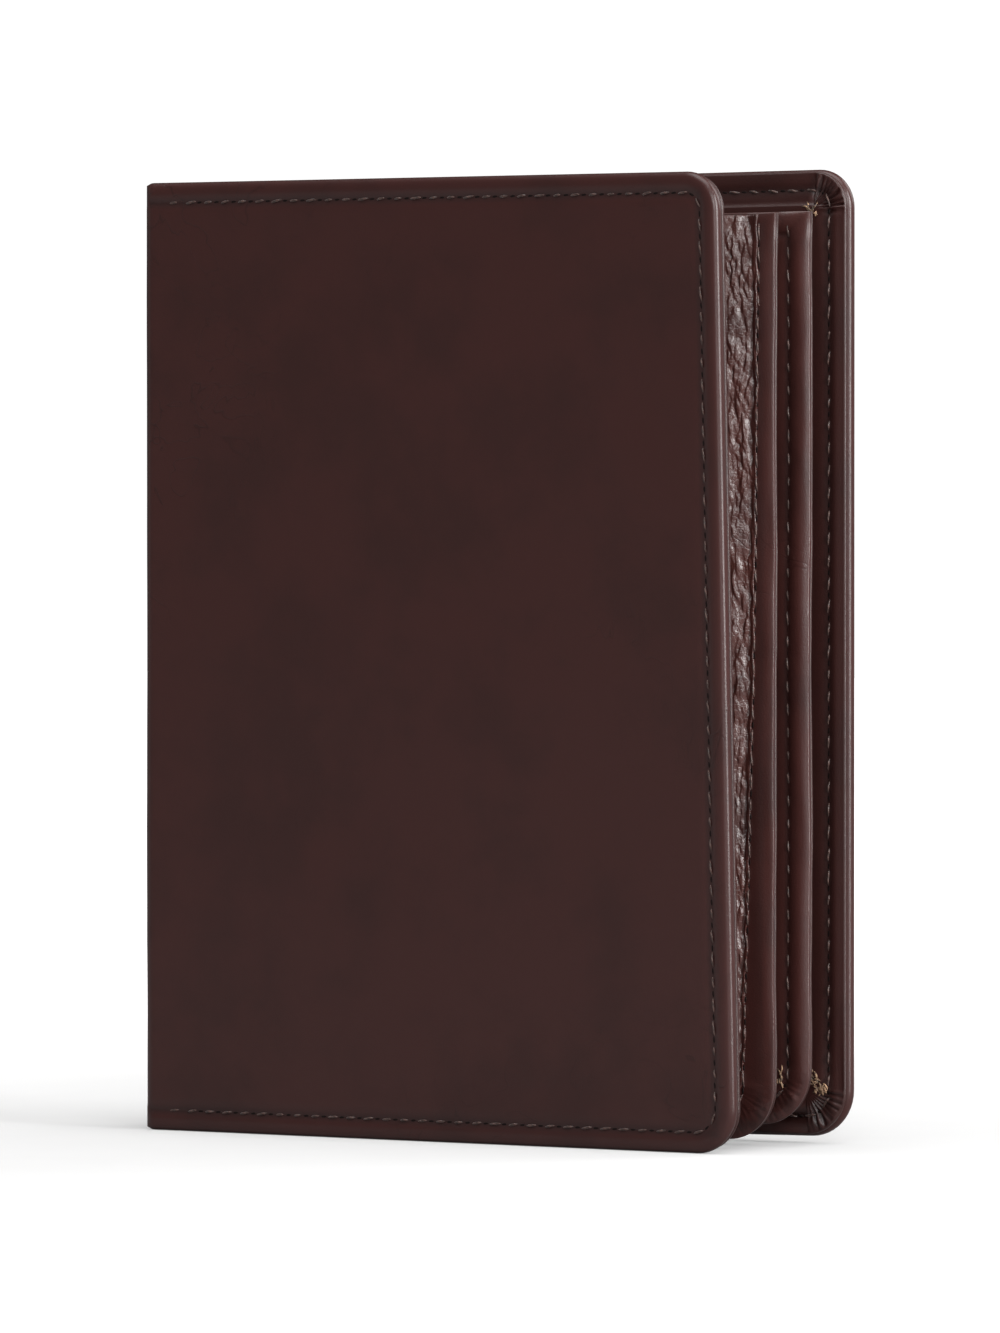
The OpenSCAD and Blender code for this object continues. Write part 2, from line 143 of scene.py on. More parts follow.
def shift(x, y):
    """A move on the ground."""
    return Matrix.Translation((x, y, 0))


def layout():
    """Every size in millimetres, and each body's own frame as a matrix to the wallet's."""
    sizes = bpy.context.scene.wallet_sizes
    lengths = [n for n in WalletSizes.__annotations__ if n != "rest_open"]
    lay = SimpleNamespace(**{n: getattr(sizes, n) / MM for n in lengths})
    open_angle = math.degrees(sizes.rest_open)
    crease = lay.crease
    lay.leaf_top = lay.cover_height - lay.leaf_drop
    lay.leaf_half = lay.leaf_thickness / 2
    tilt = turn(-open_angle / 2)
    back_axis = Vector((crease, -crease, 0))
    front_axis = back_axis + tilt @ Vector((0, 2 * crease - lay.spine_width, 0))
    front_corner = front_axis + turn(-open_angle) @ Vector((lay.cover_width - crease, -crease, 0))
    spine_corner = back_axis + tilt @ Vector((-crease, crease + 1.1 - lay.spine_width, 0))
    origin = Vector(((spine_corner.x + lay.cover_width) / 2, front_corner.y / 2, 0))
    lay.spine = Matrix.Translation(back_axis - origin) @ tilt @ Matrix.Translation(-back_axis)
    lay.back_cover = Matrix.Translation(-origin) @ Matrix.Scale(-1, 4, (0, 1, 0))
    lay.front_cover = Matrix.Translation(front_axis - origin) @ turn(-open_angle) @ shift(-crease, -crease)
    lay.pouch_leaf = lay.spine @ shift(2.5, -11.4) @ turn(-2)
    lay.card_leaf = lay.spine @ shift(2.5, -6.4)
    lay.pouch_leaf[2][0], lay.card_leaf[2][0] = LEAF_LIFT
    lay.leaf_seam = {"pouch_leaf": 1.9, "card_leaf": 2.9}
    lay.foot = {"pouch_leaf": 1.0, "card_leaf": 2.2}
    return lay


# ---- Shape helpers: a piece is drawn flat, x along its width, y up, z out of its shown face ----


def flat_outline(bm, x0, x1, y0, y1, radii, segments):
    """One flat face with rounded corners; radii run low left, low right, high right, high left."""
    bmesh.ops.create_grid(bm, x_segments=1, y_segments=1, size=0.5)
    bmesh.ops.scale(bm, vec=(x1 - x0, y1 - y0, 1), verts=bm.verts)
    bmesh.ops.translate(bm, vec=((x0 + x1) / 2, (y0 + y1) / 2, 0), verts=bm.verts)
    for (x, y), radius in zip([(x0, y0), (x1, y0), (x1, y1), (x0, y1)], radii):
        if radius > 0:
            vert = min(bm.verts, key=lambda v: (v.co.x - x) ** 2 + (v.co.y - y) ** 2)
            bmesh.ops.bevel(bm, geom=[vert], offset=radius, offset_type="OFFSET", affect="VERTICES",
                            segments=segments, profile=0.5, material=-1)
    return bm.faces[:][0]


def inset_steps(bm, face, steps):
    """Insets a face ring by ring; steps are (distance in from the edge, height), both from the start."""
    at, height = 0.0, 0.0
    for distance, level in steps:
        bmesh.ops.inset_region(bm, faces=[face], thickness=max(distance - at, LAST),
                               depth=level - height, use_even_offset=True, use_boundary=True)
        at, height = distance, level


def slab(outline, middle, top_steps, under_steps, segments=10):
    """A closed sheet from an outline at height 0: rings above it and rings below it."""
    bm = bmesh.new()
    face = flat_outline(bm, *outline, segments)
    face.normal_update()
    if face.normal.z < 0:
        face.normal_flip()
    made = bmesh.ops.extrude_face_region(bm, geom=[face])
    top = [g for g in made["geom"] if isinstance(g, bmesh.types.BMFace)][0]
    bmesh.ops.translate(bm, vec=(0, 0, middle), verts=top.verts)
    bmesh.ops.recalc_face_normals(bm, faces=bm.faces)
    under = min(bm.faces, key=lambda f: (round(f.calc_center_median().z, 5), f.normal.z))
    inset_steps(bm, top, top_steps)
    inset_steps(bm, under, under_steps)
    return bm


def slice_at(bm, axis, places, **cut):
    """Cuts new edges across the whole mesh at each place along x or y."""
    normal = Vector((1, 0, 0)) if axis == "x" else Vector((0, 1, 0))
    for place in places:
        geom = bm.verts[:] + bm.edges[:] + bm.faces[:]
        bmesh.ops.bisect_plane(bm, geom=geom, dist=LAST, plane_co=normal * place, plane_no=normal, **cut)


def steps_between(start, end, step):
    """Evenly spaced places between two ends, no further apart than a step."""
    count = max(1, math.ceil((end - start) / step))
    return [start + (end - start) * i / count for i in range(1, count)]


def grid_cuts(bm, outline, across, up):
    """Cuts a sheet into cells no larger than across by up."""
    x0, x1, y0, y1 = outline[:4]
    slice_at(bm, "x", steps_between(x0, x1, across))
    slice_at(bm, "y", steps_between(y0, y1, up))


def sheet(outline, middle, top_steps, under_steps, segments, across, up):
    """A slab cut into cells, ready to be bent."""
    bm = slab(outline, middle, top_steps, under_steps, segments)
    grid_cuts(bm, outline, across, up)
    return bm


def moved(bm, place):
    """Moves every vertex by a function of its place."""
    for vert in bm.verts:
        vert.co = place(*vert.co)


def shaped(bm, place):
    """Moves every vertex, and stores the painted shade of its seam groove; place gives both."""
    # The seam layer holds painted shade for the seam grooves
    shade = bm.verts.layers.float.new("seam")
    for vert in bm.verts:
        vert.co, vert[shade] = place(*vert.co)


def within(low, value, high):
    """A value held between two limits."""
    return max(low, min(high, value))


def bell(distance, width):
    """A smooth bump: 1 at distance 0, gone a few widths away."""
    return math.exp(-(distance / width) ** 2)


def ripple(point, size, height):
    """Smooth seeded unevenness: size is its width in millimetres."""
    return noise.noise(Vector(point) / size) * height


def finish_piece(bm, name, material, body=None, replaces=(), keep_normals=False):
    """Turns a bmesh in millimetres into a named piece that rides on a body."""
    bmesh.ops.remove_doubles(bm, verts=bm.verts, dist=LAST)
    if not keep_normals:
        bmesh.ops.recalc_face_normals(bm, faces=bm.faces)
    bmesh.ops.scale(bm, vec=(MM, MM, MM), verts=bm.verts)
    mesh = bpy.data.meshes.new(name)
    bm.to_mesh(mesh)
    bm.free()
    for poly in mesh.polygons:
        poly.use_smooth = True
    piece = bpy.data.objects.new(name, mesh)
    bpy.context.scene.collection.objects.link(piece)
    mesh.materials.append(bpy.data.materials[material])
    if body:
        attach(piece, body)
    if replaces:
        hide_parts(*replaces)
    return piece


def leather_edge(rise, width=0.42, fullness=2.0):
    """Rings of a rounded edge that rises over a width; fullness 2 is a quarter of an ellipse."""
    power = 0.5 if fullness == 2 else 0.72
    return [(width * e, rise * (1 - (1 - e) ** fullness) ** power) for e in (0.03, 0.1, 0.22, 0.4, 0.65, 1.0)]


def seam_groove(rise, inset, depth, crown=0.05, width=0.75, edge=0.0):
    """Rings of a slightly crowned border, then the groove that the stitches lie in."""
    rings = [(inset * 0.5, rise + crown), (inset - width, rise + crown * 0.4),
             (inset - width * 0.4, rise - depth * 0.7), (inset, rise - depth),
             (inset + width * 0.4, rise - depth * 0.75), (inset + width * 1.1, rise - depth * 0.1)]
    return [ring for ring in rings if ring[0] > edge + 0.05]


# ---- Materials ----


def add(tree, kind, inputs=None, **settings):
    """Adds a node, sets its options, and fills its inputs with values or links."""
    made = tree.nodes.new(kind)
    for key, value in settings.items():
        setattr(made, key, value)
    for key, value in (inputs or {}).items():
        if isinstance(value, bpy.types.NodeSocket):
            tree.links.new(value, made.inputs[key])
        else:
            made.inputs[key].default_value = value
    return made


def mixed(tree, factor, first, second):
    """Mixes two colours and returns the colour socket; 6 and 7 are the node's colour inputs."""
    return add(tree, "ShaderNodeMix", {0: factor, 6: first, 7: second}, data_type="RGBA").outputs[2]


def sums(tree, operation, first, second=0.0, third=0.0):
    """One step of arithmetic."""
    return add(tree, "ShaderNodeMath", {0: first, 1: second, 2: third}, operation=operation).outputs[0]


def ranged(tree, value, low, high, out_low=0.0, out_high=1.0):
    """Stretches a value from one range to another, smoothly and clamped."""
    ends = {"Value": value, "From Min": low, "From Max": high, "To Min": out_low, "To Max": out_high}
    return add(tree, "ShaderNodeMapRange", ends, interpolation_type="SMOOTHSTEP").outputs[0]


def place_of(tree):
    """Where a point is on the wallet at rest."""
    return add(tree, "ShaderNodeTexCoord").outputs["Object"]


def cloudy(tree, where, scale, detail=2.0, **more):
    """Soft noise around a half."""
    inputs = {"Vector": where, "Scale": scale, "Detail": detail, **more}
    return add(tree, "ShaderNodeTexNoise", inputs).outputs["Fac"]


def ribbed(tree, where, scale, distortion, detail):
    """Diagonal ribs."""
    inputs = {"Vector": where, "Scale": scale, "Distortion": distortion, "Detail": detail}
    return add(tree, "ShaderNodeTexWave", inputs, bands_direction="DIAGONAL").outputs["Fac"]


def new_group(name, inputs, outputs):
    """A node group with named float and colour sockets."""
    group = bpy.data.node_groups.new(name, "ShaderNodeTree")
    for label, default in inputs.items():
        kind = "NodeSocketColor" if isinstance(default, tuple) else "NodeSocketFloat"
        group.interface.new_socket(name=label, in_out="INPUT", socket_type=kind).default_value = default
    for label, kind in outputs.items():
        group.interface.new_socket(name=label, in_out="OUTPUT", socket_type=kind)
    return group, group.nodes.new("NodeGroupInput").outputs, group.nodes.new("NodeGroupOutput").inputs


def leather_group():
    """Grain, pores, pooled dye and fine creases of a dyed leather, with painted shade along the creases and in the
    seam grooves.
    """
    group, given, result = new_group(
        "Leather surface",
        {"Colour": (0.04, 0.013, 0.011, 1), "Deep": (0.02, 0.006, 0.005, 1), "Grain size": 2600.0,
         "Grain": 0.35, "Mottle": 0.5, "Crease": 0.3, "Roughness": 0.38, "Seam": 0.0},
        {"Color": "NodeSocketColor", "Roughness": "NodeSocketFloat", "Height": "NodeSocketFloat"})

    def step(operation, *values):
        return sums(group, operation, *values)

    where, deep = place_of(group), given["Deep"]
    cells = {"Vector": where, "Scale": given["Grain size"], "Randomness": 0.9}
    pores = add(group, "ShaderNodeTexVoronoi", cells, feature="DISTANCE_TO_EDGE").outputs["Distance"]
    fine = cloudy(group, where, 3400.0, 3.0)
    cloud = cloudy(group, where, 62.0, 5.0, Roughness=0.62)
    broad = cloudy(group, where, 17.0)
    creases = cloudy(group, where, 85.0, 2.5, Distortion=1.4)
    line = ranged(group, step("ABSOLUTE", step("SUBTRACT", creases, 0.5)), 0.0, 0.011, 1.0, 0.0)
    line = step("MULTIPLY", line, ranged(group, broad, 0.5, 0.66))
    line = step("MULTIPLY", line, given["Crease"])
    pool = step("MULTIPLY", ranged(group, cloud, 0.42, 0.68), given["Mottle"])
    shade = mixed(group, pool, given["Colour"], deep)
    # Painted shade: darker along the creases
    shade = mixed(group, step("MULTIPLY", line, 0.7), shade, deep)
    # Painted shade: darker in the seam grooves
    shade = mixed(group, step("MULTIPLY", given["Seam"], 0.75), shade, deep)
    pit = ranged(group, pores, 0.0, 0.16)
    height = step("MULTIPLY_ADD", pit, given["Grain"], step("MULTIPLY", fine, 0.3))
    height = step("SUBTRACT", height, step("MULTIPLY", line, 1.6))
    spread = step("MULTIPLY_ADD", step("SUBTRACT", cloud, 0.5), 0.14, given["Roughness"])
    spread = step("MULTIPLY_ADD", given["Seam"], 0.12, spread)
    for label, value in {"Color": shade, "Roughness": spread, "Height": height}.items():
        group.links.new(value, result[label])
    return group


def new_material(name, **values):
    """A material's tree, and its shader with some values set."""
    material = bpy.data.materials.new(name)
    material.use_nodes = True
    tree = material.node_tree
    tree.nodes.clear()
    shader = tree.nodes.new("ShaderNodeBsdfPrincipled")
    output = tree.nodes.new("ShaderNodeOutputMaterial")
    tree.links.new(shader.outputs[0], output.inputs["Surface"])
    for key, value in values.items():
        shader.inputs[key.replace("_", " ")].default_value = value
    return tree, shader


def painted(tree, shader, shade, rough):
    """Joins a colour and a roughness to the shader."""
    tree.links.new(shade, shader.inputs["Base Color"])
    tree.links.new(rough, shader.inputs["Roughness"])


def bumped(tree, shader, height, strength, distance):
    """Joins a height to the shader's normal."""
    bump = add(tree, "ShaderNodeBump", {"Height": height, "Strength": strength, "Distance": distance})
    tree.links.new(bump.outputs[0], shader.inputs["Normal"])


def toned(rgb, share=1.0):
    """A colour made darker or lighter, with its alpha."""
    return (*[c * share for c in rgb], 1)


def leather(name, group, rgb, deep, bump, specular=0.5, **values):
    """One leather finish, from the shared surface group."""
    tree, shader = new_material(name, Specular_IOR_Level=specular)
    # The mesh's seam values give painted shade in the seam grooves
    seam = add(tree, "ShaderNodeAttribute", attribute_name="seam").outputs["Fac"]
    inputs = {"Colour": toned(rgb), "Deep": toned(deep), "Seam": seam}
    inputs.update({key.replace("_", " "): value for key, value in values.items()})
    surface = tree.nodes.new("ShaderNodeGroup")
    surface.node_tree = group
    for key, value in inputs.items():
        if key == "Seam":
            tree.links.new(value, surface.inputs[key])
        else:
            surface.inputs[key].default_value = value
    painted(tree, shader, surface.outputs["Color"], surface.outputs["Roughness"])
    bumped(tree, shader, surface.outputs["Height"], bump, 0.00006)


def speckled(name, dark, light, noise_inputs, patch, rough, bump=None, **values):
    """A finish that varies between two colours in cloudy patches."""
    tree, shader = new_material(name, **values)
    where = place_of(tree)
    fleck = cloudy(tree, where, **noise_inputs)
    factor = ranged(tree, fleck, *patch) if patch else fleck
    painted(tree, shader, mixed(tree, factor, dark, light), ranged(tree, fleck, *rough))
    if bump:
        bumped(tree, shader, fleck, *bump)
    return tree, shader, where


def thread_material(rgb):
    """Waxed thread: twisted plies and a little sheen."""
    tree, shader = new_material("Waxed thread", Sheen_Weight=0.15)
    where = place_of(tree)
    plies = ribbed(tree, where, 620.0, 1.5, 1.0)
    fuzz = cloudy(tree, where, 900.0, 3.0)
    shade = mixed(tree, sums(tree, "MULTIPLY", plies, fuzz), toned(rgb, 0.45), toned(rgb, 1.5))
    painted(tree, shader, shade, ranged(tree, fuzz, 0.3, 0.7, 0.34, 0.5))
    bumped(tree, shader, plies, 0.5, 0.00008)


def lining_material(rgb):
    """Fine twill: diagonal ribs with a thread-to-thread colour change."""
    tree, shader = new_material("Twill lining", Sheen_Weight=0.25)
    where = place_of(tree)
    ribs = ribbed(tree, where, 380.0, 0.25, 2.0)
    yarn = cloudy(tree, where, 1400.0)
    shade = mixed(tree, ribs, toned(rgb, 0.5), toned(rgb, 1.25))
    shade = mixed(tree, sums(tree, "MULTIPLY", yarn, 0.5), shade, toned(rgb))
    painted(tree, shader, shade, ranged(tree, yarn, 0.3, 0.7, 0.62, 0.82))
    bumped(tree, shader, ribs, 0.5, 0.0001)


def brass_material(rgb):
    """Aged brass with fine scratches and a darker tarnish."""
    tree, shader, where = speckled(
        "Aged brass", toned(rgb), toned(rgb, 0.42), {"scale": 260.0, "detail": 5.0},
        (0.45, 0.7), (0.35, 0.7, 0.24, 0.46), Metallic=1.0)
    stretched = add(tree, "ShaderNodeMapping", {"Vector": where, "Scale": (240.0, 2600.0, 5200.0)}).outputs[0]
    bumped(tree, shader, cloudy(tree, stretched, 1.0), 0.25, 0.00003)


def film_material():
    """Clear plastic film, slightly wavy and faintly scuffed."""
    tree, shader, where = speckled(
        "Clear film", (0.86, 0.88, 0.88, 1), (0.95, 0.95, 0.95, 1), {"scale": 800.0, "detail": 4.0},
        None, (0.45, 0.75, 0.05, 0.2), Transmission_Weight=1.0, IOR=1.3)
    bumped(tree, shader, cloudy(tree, where, 70.0, 1.0), 0.2, 0.0004)


class WALLET_OT_materials(bpy.types.Operator):
    """Make every material of the wallet and give the frame's own nodes theirs"""

    bl_idname = "wallet.materials"
    bl_label = "Materials"

    def execute(self, context):
        tones = context.scene.wallet_colours
        group, deep = leather_group(), tones.calf_deep
        leather("Polished calf", group, tones.calf, deep, bump=0.26, Roughness=0.33, Grain=0.16, Crease=0.8,
                Mottle=0.36)
        leather("Leaf calf", group, tones.leaf, deep, bump=0.32, specular=0.6, Roughness=0.3, Grain=0.3,
                Grain_size=2100.0, Crease=0.7)
        leather("Inner calf", group, tones.inner, deep, bump=0.3, Roughness=0.37, Grain=0.3,
                Grain_size=2200.0, Crease=0.45)
        leather("Soft leather", group, tones.soft, deep, bump=0.5, specular=0.55, Roughness=0.28, Grain=0.5,
                Grain_size=1700.0, Crease=1.0, Mottle=0.7)
        thread_material(tones.thread)
        # Near-black pits: painted shade in the needle holes
        speckled("Needle hole", (0.004, 0.0016, 0.0014, 1), (0.010, 0.004, 0.0034, 1), {"scale": 2500.0},
                 None, (0.3, 0.7, 0.6, 0.8), Specular_IOR_Level=0.2)
        speckled("Raw leather edge", toned(tones.raw, 0.22), toned(tones.raw, 1.5),
                 {"scale": 1500.0, "detail": 5.0, "Distortion": 1.0},
                 (0.38, 0.62), (0.3, 0.7, 0.45, 0.75), (0.8, 0.0002))
        lining_material(tones.lining)
        speckled("Fibre board", toned(tones.board, 0.7), toned(tones.board), {"scale": 1100.0, "detail": 4.0},
                 (0.35, 0.65), (0.3, 0.7, 0.8, 0.92), (0.4, 0.00008))
        brass_material(tones.brass)
        film_material()
        finishes = {"board": "Fibre board", "stud_": "Aged brass", "window": "Clear film"}
        for name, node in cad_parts.items():
            finish = next((m for key, m in finishes.items() if key in name), "Inner calf")
            node.data.materials.clear()
            node.data.materials.append(bpy.data.materials[finish])
        return {"FINISHED"}


# ---- The wrap: one piece of leather round both covers and the spine ----


class FoldLine:
    """The wrap's path seen from above, with round folds at the spine's two corners."""

    def __init__(self, lay):
        def on(body, x, y):
            return (getattr(lay, body) @ Vector((x, y, 0))).to_2d()

        self.radius = lay.fold_radius
        spine = on("spine", 0, -lay.spine_width), on("spine", 0, 0)
        covers = [(on(body, lay.cover_width, 0), on(body, 0, 0)) for body in ("front_cover", "back_cover")]
        corners = [self.crossing(end, fold, *spine) for end, fold in covers]
        self.points = [covers[0][0], *corners, covers[1][0]]
        legs = [b - a for a, b in zip(self.points, self.points[1:])]
        self.runs = [leg.normalized() for leg in legs]
        self.starts = [0.0]
        for leg in legs:
            self.starts.append(self.starts[-1] + leg.length)
        self.total = self.starts[-1]
        self.middle = (self.starts[1] + self.starts[2]) / 2

    @staticmethod
    def crossing(a, b, c, d):
        """Where the lines a-b and c-d meet."""
        r, s = b - a, d - c
        return a + r * ((c - a).cross(s) / r.cross(s))

    def at(self, s, height):
        """The point at a distance along the wrap, standing out from its face by a height."""
        for corner in (1, 2):
            off = s - self.starts[corner]
            before, after = self.runs[corner - 1], self.runs[corner]
            angle = before.angle(after)
            reach = self.radius * math.tan(angle / 2)
            if abs(off) < reach:
                side = Vector((-before.y, before.x))
                centre = self.points[corner] - before * reach - side * self.radius
                part = (off / reach + 1) / 2 * angle
                out = side * math.cos(part) + before * math.sin(part)
                return centre + out * (self.radius + height)
        leg = (s >= self.starts[1]) + (s >= self.starts[2])
        run = self.runs[leg]
        return self.points[leg] + run * (s - self.starts[leg]) + Vector((-run.y, run.x)) * height


def front_lean(lay, u, z):
    """How the front cover has settled: its upper corner stands a little further open."""
    out = max(0.0, u) / lay.cover_width
    twist = FRONT_TWIST * (z / lay.cover_height - 0.5) * 2
    return Vector(((-FRONT_OPEN - twist) * out, -twist * out * out, 0))


def cover_point(lay, body, u, depth, z):
    """A point on a cover: distance from the spine, depth from the outer face, and height."""
    point = getattr(lay, body) @ Vector((u, depth, z))
    if body == "front_cover":
        point += front_lean(lay, u, z)
    else:
        point.z += BACK_LIFT * max(0.0, u) / lay.cover_width
    return point


def painted_seam_shade(edge, inset):
    """How much painted shade leather gets in its seam groove, at a distance from its edge."""
    return 0.85 * bell(edge - inset, 0.55)


def build_wrap(lay, body):
    """Half of the wrap, from the middle of the spine round one cover."""
    path = FoldLine(lay)
    total, height = path.total, lay.cover_height
    _, front_corner, back_corner, _ = path.starts
    front = body == "front_cover"
    rise = (lay.cover_thickness - lay.panel) / 2
    turned, border = 0.95, 4.4  # width of the turned edge, and where the flat face starts
    radii = (lay.foot_radius, lay.foot_radius, lay.top_radius, lay.top_radius)
    bm = slab((0, total, 0, height, radii), 0.02,
              leather_edge(rise, turned) + seam_groove(rise, lay.seam_inset, 0.22, edge=turned) + [(border, rise)],
              leather_edge(rise, 0.7) + [(border, rise), (border + 0.05, lay.skin - rise)], segments=12)
    slice_at(bm, "x", [path.middle], clear_outer=front, clear_inner=not front)
    reach = path.radius * 1.15 + 0.5
    for corner in (front_corner, back_corner):
        slice_at(bm, "x", steps_between(corner - reach, corner + reach, 0.42))
    slice_at(bm, "x", steps_between(0, front_corner - 4, 5) + steps_between(back_corner + 4, total, 5))
    slice_at(bm, "y", steps_between(0, height, 5))

    def place(s, z, h):
        edge = min(s, total - s, z, height - z)
        on_spine = front_corner - 1 < s < back_corner + 1
        if on_spine and h > rise - 0.24:
            h = rise
        out = h - rise
        if edge > 3.4:
            out += ripple((s, z, 3), 24, 0.10) + ripple((s, z, 9), 9, 0.03)
        out += 0.28 * sum(bell(s - corner, 2.5) for corner in (front_corner, back_corner))
        point = path.at(s, out).to_3d()
        point.z = z
        if s < front_corner:
            point += front_lean(lay, front_corner - s, z)
        elif s > back_corner:
            point.z += BACK_LIFT * (s - back_corner) / lay.cover_width
        # Painted shade in the seam groove, none on the spine
        return point, 0.0 if on_spine else painted_seam_shade(edge, lay.seam_inset)

    shaped(bm, place)
    side = body.split("_")[0]
    swapped = [side + "_outer_leather"] + (["spine_outer_leather"] if front else [])
    piece = finish_piece(bm, side + "_wrap", "Polished calf", replaces=swapped)
    cover_side = getattr(lay, body) @ Vector((3, 0, 0))
    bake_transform(piece)


class WALLET_OT_wrap(bpy.types.Operator):
    """Fold the outer leather round both covers and the spine"""

    bl_idname = "wallet.wrap"
    bl_label = "Outer leather"

    def execute(self, context):
        lay = layout()
        build_wrap(lay, "front_cover")
        build_wrap(lay, "back_cover")
        return {"FINISHED"}


# ---- Inside of the covers ----


def pleats(x, y, centre, radius, count, height, seed):
    """Radial pleats of leather gathered round a corner, between its edge and the seam."""
    reach = 2.5  # how far the pleats run on along the straight edges
    dx, dy = x - centre[0], (y - centre[1]) * (1 if seed % 2 else -1)
    if dx < -reach or dy < -reach:
        return 0.0
    edge = radius - math.hypot(dx, dy)
    band = within(0.0, (edge - 0.12) / 0.5, 1.0) * within(0.0, (3.9 - edge) / 0.7, 1.0)
    angle = math.atan2(dy, dx)
    fade = max(0.0, 1 - max(0.0, -dx, -dy) / reach)
    fade *= 0.75 + 0.9 * noise.noise(Vector((angle * 4, seed, edge / 3)))
    stray = 5 * noise.noise(Vector((angle * 2, seed, edge / 5)))
    return (math.sin(angle * count * 4 + stray + edge * 0.35) - 0.35) * height * band * fade


def pocket_rise(body, z):
    """How far the back cover's pocket stands off the leather behind it, below its mouth."""
    return POCKET_RISE if body == "back_cover" and z < POCKET_TOP else 0.0


def build_panel(lay, body):
    """The panel sewn inside a cover, gathered at its two fore-edge corners."""
    side = body.split("_")[0]
    x1, z0, z1 = lay.cover_width - PANEL_EDGE, PANEL_EDGE, lay.cover_height - PANEL_EDGE
    low, high = lay.foot_radius - PANEL_EDGE, lay.top_radius - PANEL_EDGE
    rise, inset = lay.panel / 2, lay.seam_inset - PANEL_EDGE
    bm = sheet((PANEL_START, x1, z0, z1, (0, low, high, 0)), 0.02,
               leather_edge(rise - 0.02, 0.34) + [(0.8, rise + 0.01)]
               + seam_groove(rise - 0.02, inset, 0.16, 0.03) + [(3.7, rise), (4.3, rise)],
               leather_edge(rise - 0.02, 0.3), 30, 6, 6)
    slice_at(bm, "y", [POCKET_TOP + step for step in (-1.2, -0.7, -0.35, -0.12, 0.0, 0.02)])

    def place(u, z, h):
        edge = min(x1 - u, z - z0, z1 - z)
        if h > 0:
            full = within(0.0, min((edge - 0.5) / 1.0, (u - 5) / 2), 1.0)
            hem = 0.10 * bell(z - POCKET_TOP + 0.35, 0.4)
            h += pocket_rise(body, z) * full * (1 + hem)
            h += pleats(u, z, (x1 - high, z1 - high), high, 8, 0.28, 1)
            h += pleats(u, z, (x1 - low, z0 + low), low, 9, 0.32, 2)
            if edge > 3.2:
                h += ripple((u, z, 31), 15, 0.09)
        # Painted shade in the panel's seam groove
        return cover_point(lay, body, u, lay.cover_thickness - rise + h, z), painted_seam_shade(edge, inset)

    shaped(bm, place)
    finish_piece(bm, side + "_panel", "Inner calf", body, [side + "_inner_panel"])


def build_cloth(lay, body):
    """The cloth that lines the compartment between a cover's board and its panel."""
    side = body.split("_")[0]
    rim = 7.4  # how far it stays in from the cover's edges
    outline = (3, lay.cover_width - rim, rim, lay.cover_height - rim, (0.4,) * 4)
    bm = sheet(outline, 0.02, [(0.05, 0.05)], [(0.05, 0.03)], 3, 6, 6)
    moved(bm, lambda u, z, h: cover_point(lay, body, u, LINING_DEPTH + h + ripple((u, z, 5), 12, 0.06), z))
    finish_piece(bm, side + "_lining", "Twill lining", body, [side + "_compartment_lining"])


def build_board(lay, body):
    """The board that stiffens a cover, with its cut edges just inside the wrap."""
    side = body.split("_")[0]
    radii = (0, lay.foot_radius - 1, lay.top_radius - 1, 0)
    edge = [(0.04, 0.08), (0.1, 0.12)]
    bm = sheet((2.6, lay.cover_width - 1.0, 1.0, lay.cover_height - 1.0, radii), 0.01, edge, edge, 8, 8, 8)
    moved(bm, lambda u, z, h: cover_point(lay, body, u, BOARD_DEPTH + h, z))
    finish_piece(bm, side + "_stiffener", "Fibre board", body, [side + "_board"])


def build_slot(lay, body, name, x0, x1, foot, mouth, base):
    """One card slot: a skived sheet that stands off at its mouth, with a creased line under it."""
    rise = 0.215
    edge = [(0.04, 0.1), (0.12, 0.17), (0.3, rise)]
    line = [(0.95, rise + 0.02), (1.15, rise - 0.07), (1.3, rise - 0.07), (1.5, rise)]
    bm = sheet((x0, x1, foot, mouth, (0, 0, 0, 0)), 0.01, edge + line, edge, 6, 6, 6)

    def place(u, z, h):
        share = (z - foot) / (mouth - foot)
        bow = 0.12 * math.sin(math.pi * (u - x0) / (x1 - x0)) + ripple((u, z, foot * 0.37), 14, 0.05)
        lift = base + 0.225 + h + (0.65 + bow) * share
        # Painted shade along the slot's creased line
        dark = painted_seam_shade(min(u - x0, x1 - u, mouth - z), 1.2) * 0.7
        if body.endswith("cover"):
            return cover_point(lay, body, u, lift, z), dark
        return getattr(lay, body) @ Vector((u, lift, z)), dark

    shaped(bm, place)
    finish_piece(bm, name + "_sheet", "Inner calf", body, [name])


class WALLET_OT_cover_insides(bpy.types.Operator):
    """Line the covers: compartment cloth, sewn panels and the front cover's card slots"""

    bl_idname = "wallet.cover_insides"
    bl_label = "Cover panels and slots"

    def execute(self, context):
        lay = layout()
        for body in ("front_cover", "back_cover"):
            build_panel(lay, body)
            build_cloth(lay, body)
            build_board(lay, body)
        for i in range(4):
            mouth = lay.cover_height - 14 - i * lay.slot_step
            foot = 3.0 if i == 3 else mouth - lay.slot_step - 3
            build_slot(lay, "front_cover", f"front_card_slot_{i + 1}", 5.3, 92.0, foot, mouth,
                       lay.cover_thickness)
        return {"FINISHED"}


# ---- Spine lining and the two leaves ----


def build_spine_lining(lay):
    """The leather that covers the inside of the spine, with a creased line along each side."""
    reach, rise = lay.spine_width - SPINE_LINING, 0.39
    edge = [(0.04, 0.2), (0.14, 0.32), (0.35, rise)]
    line = [(1.1, rise + 0.02), (1.3, rise - 0.1), (1.5, rise - 0.1), (1.75, rise)]
    bm = sheet((SPINE_LINING, reach, 0.3, lay.cover_height - 0.3, (0, 0, 0, 0)), 0.01, edge + line, edge, 3, 2, 4)

    def place(t, z, h):
        lift = 1.6 + h + (ripple((t, z, 2), 8, 0.06) if h > 0 else 0)
        # Painted shade along the lining's creased side lines
        return lay.spine @ Vector((lift, -t, z)), painted_seam_shade(min(t - SPINE_LINING, reach - t), 1.4)

    shaped(bm, place)
    finish_piece(bm, "spine_lining_leather", "Inner calf", "spine", ["spine_lining"])


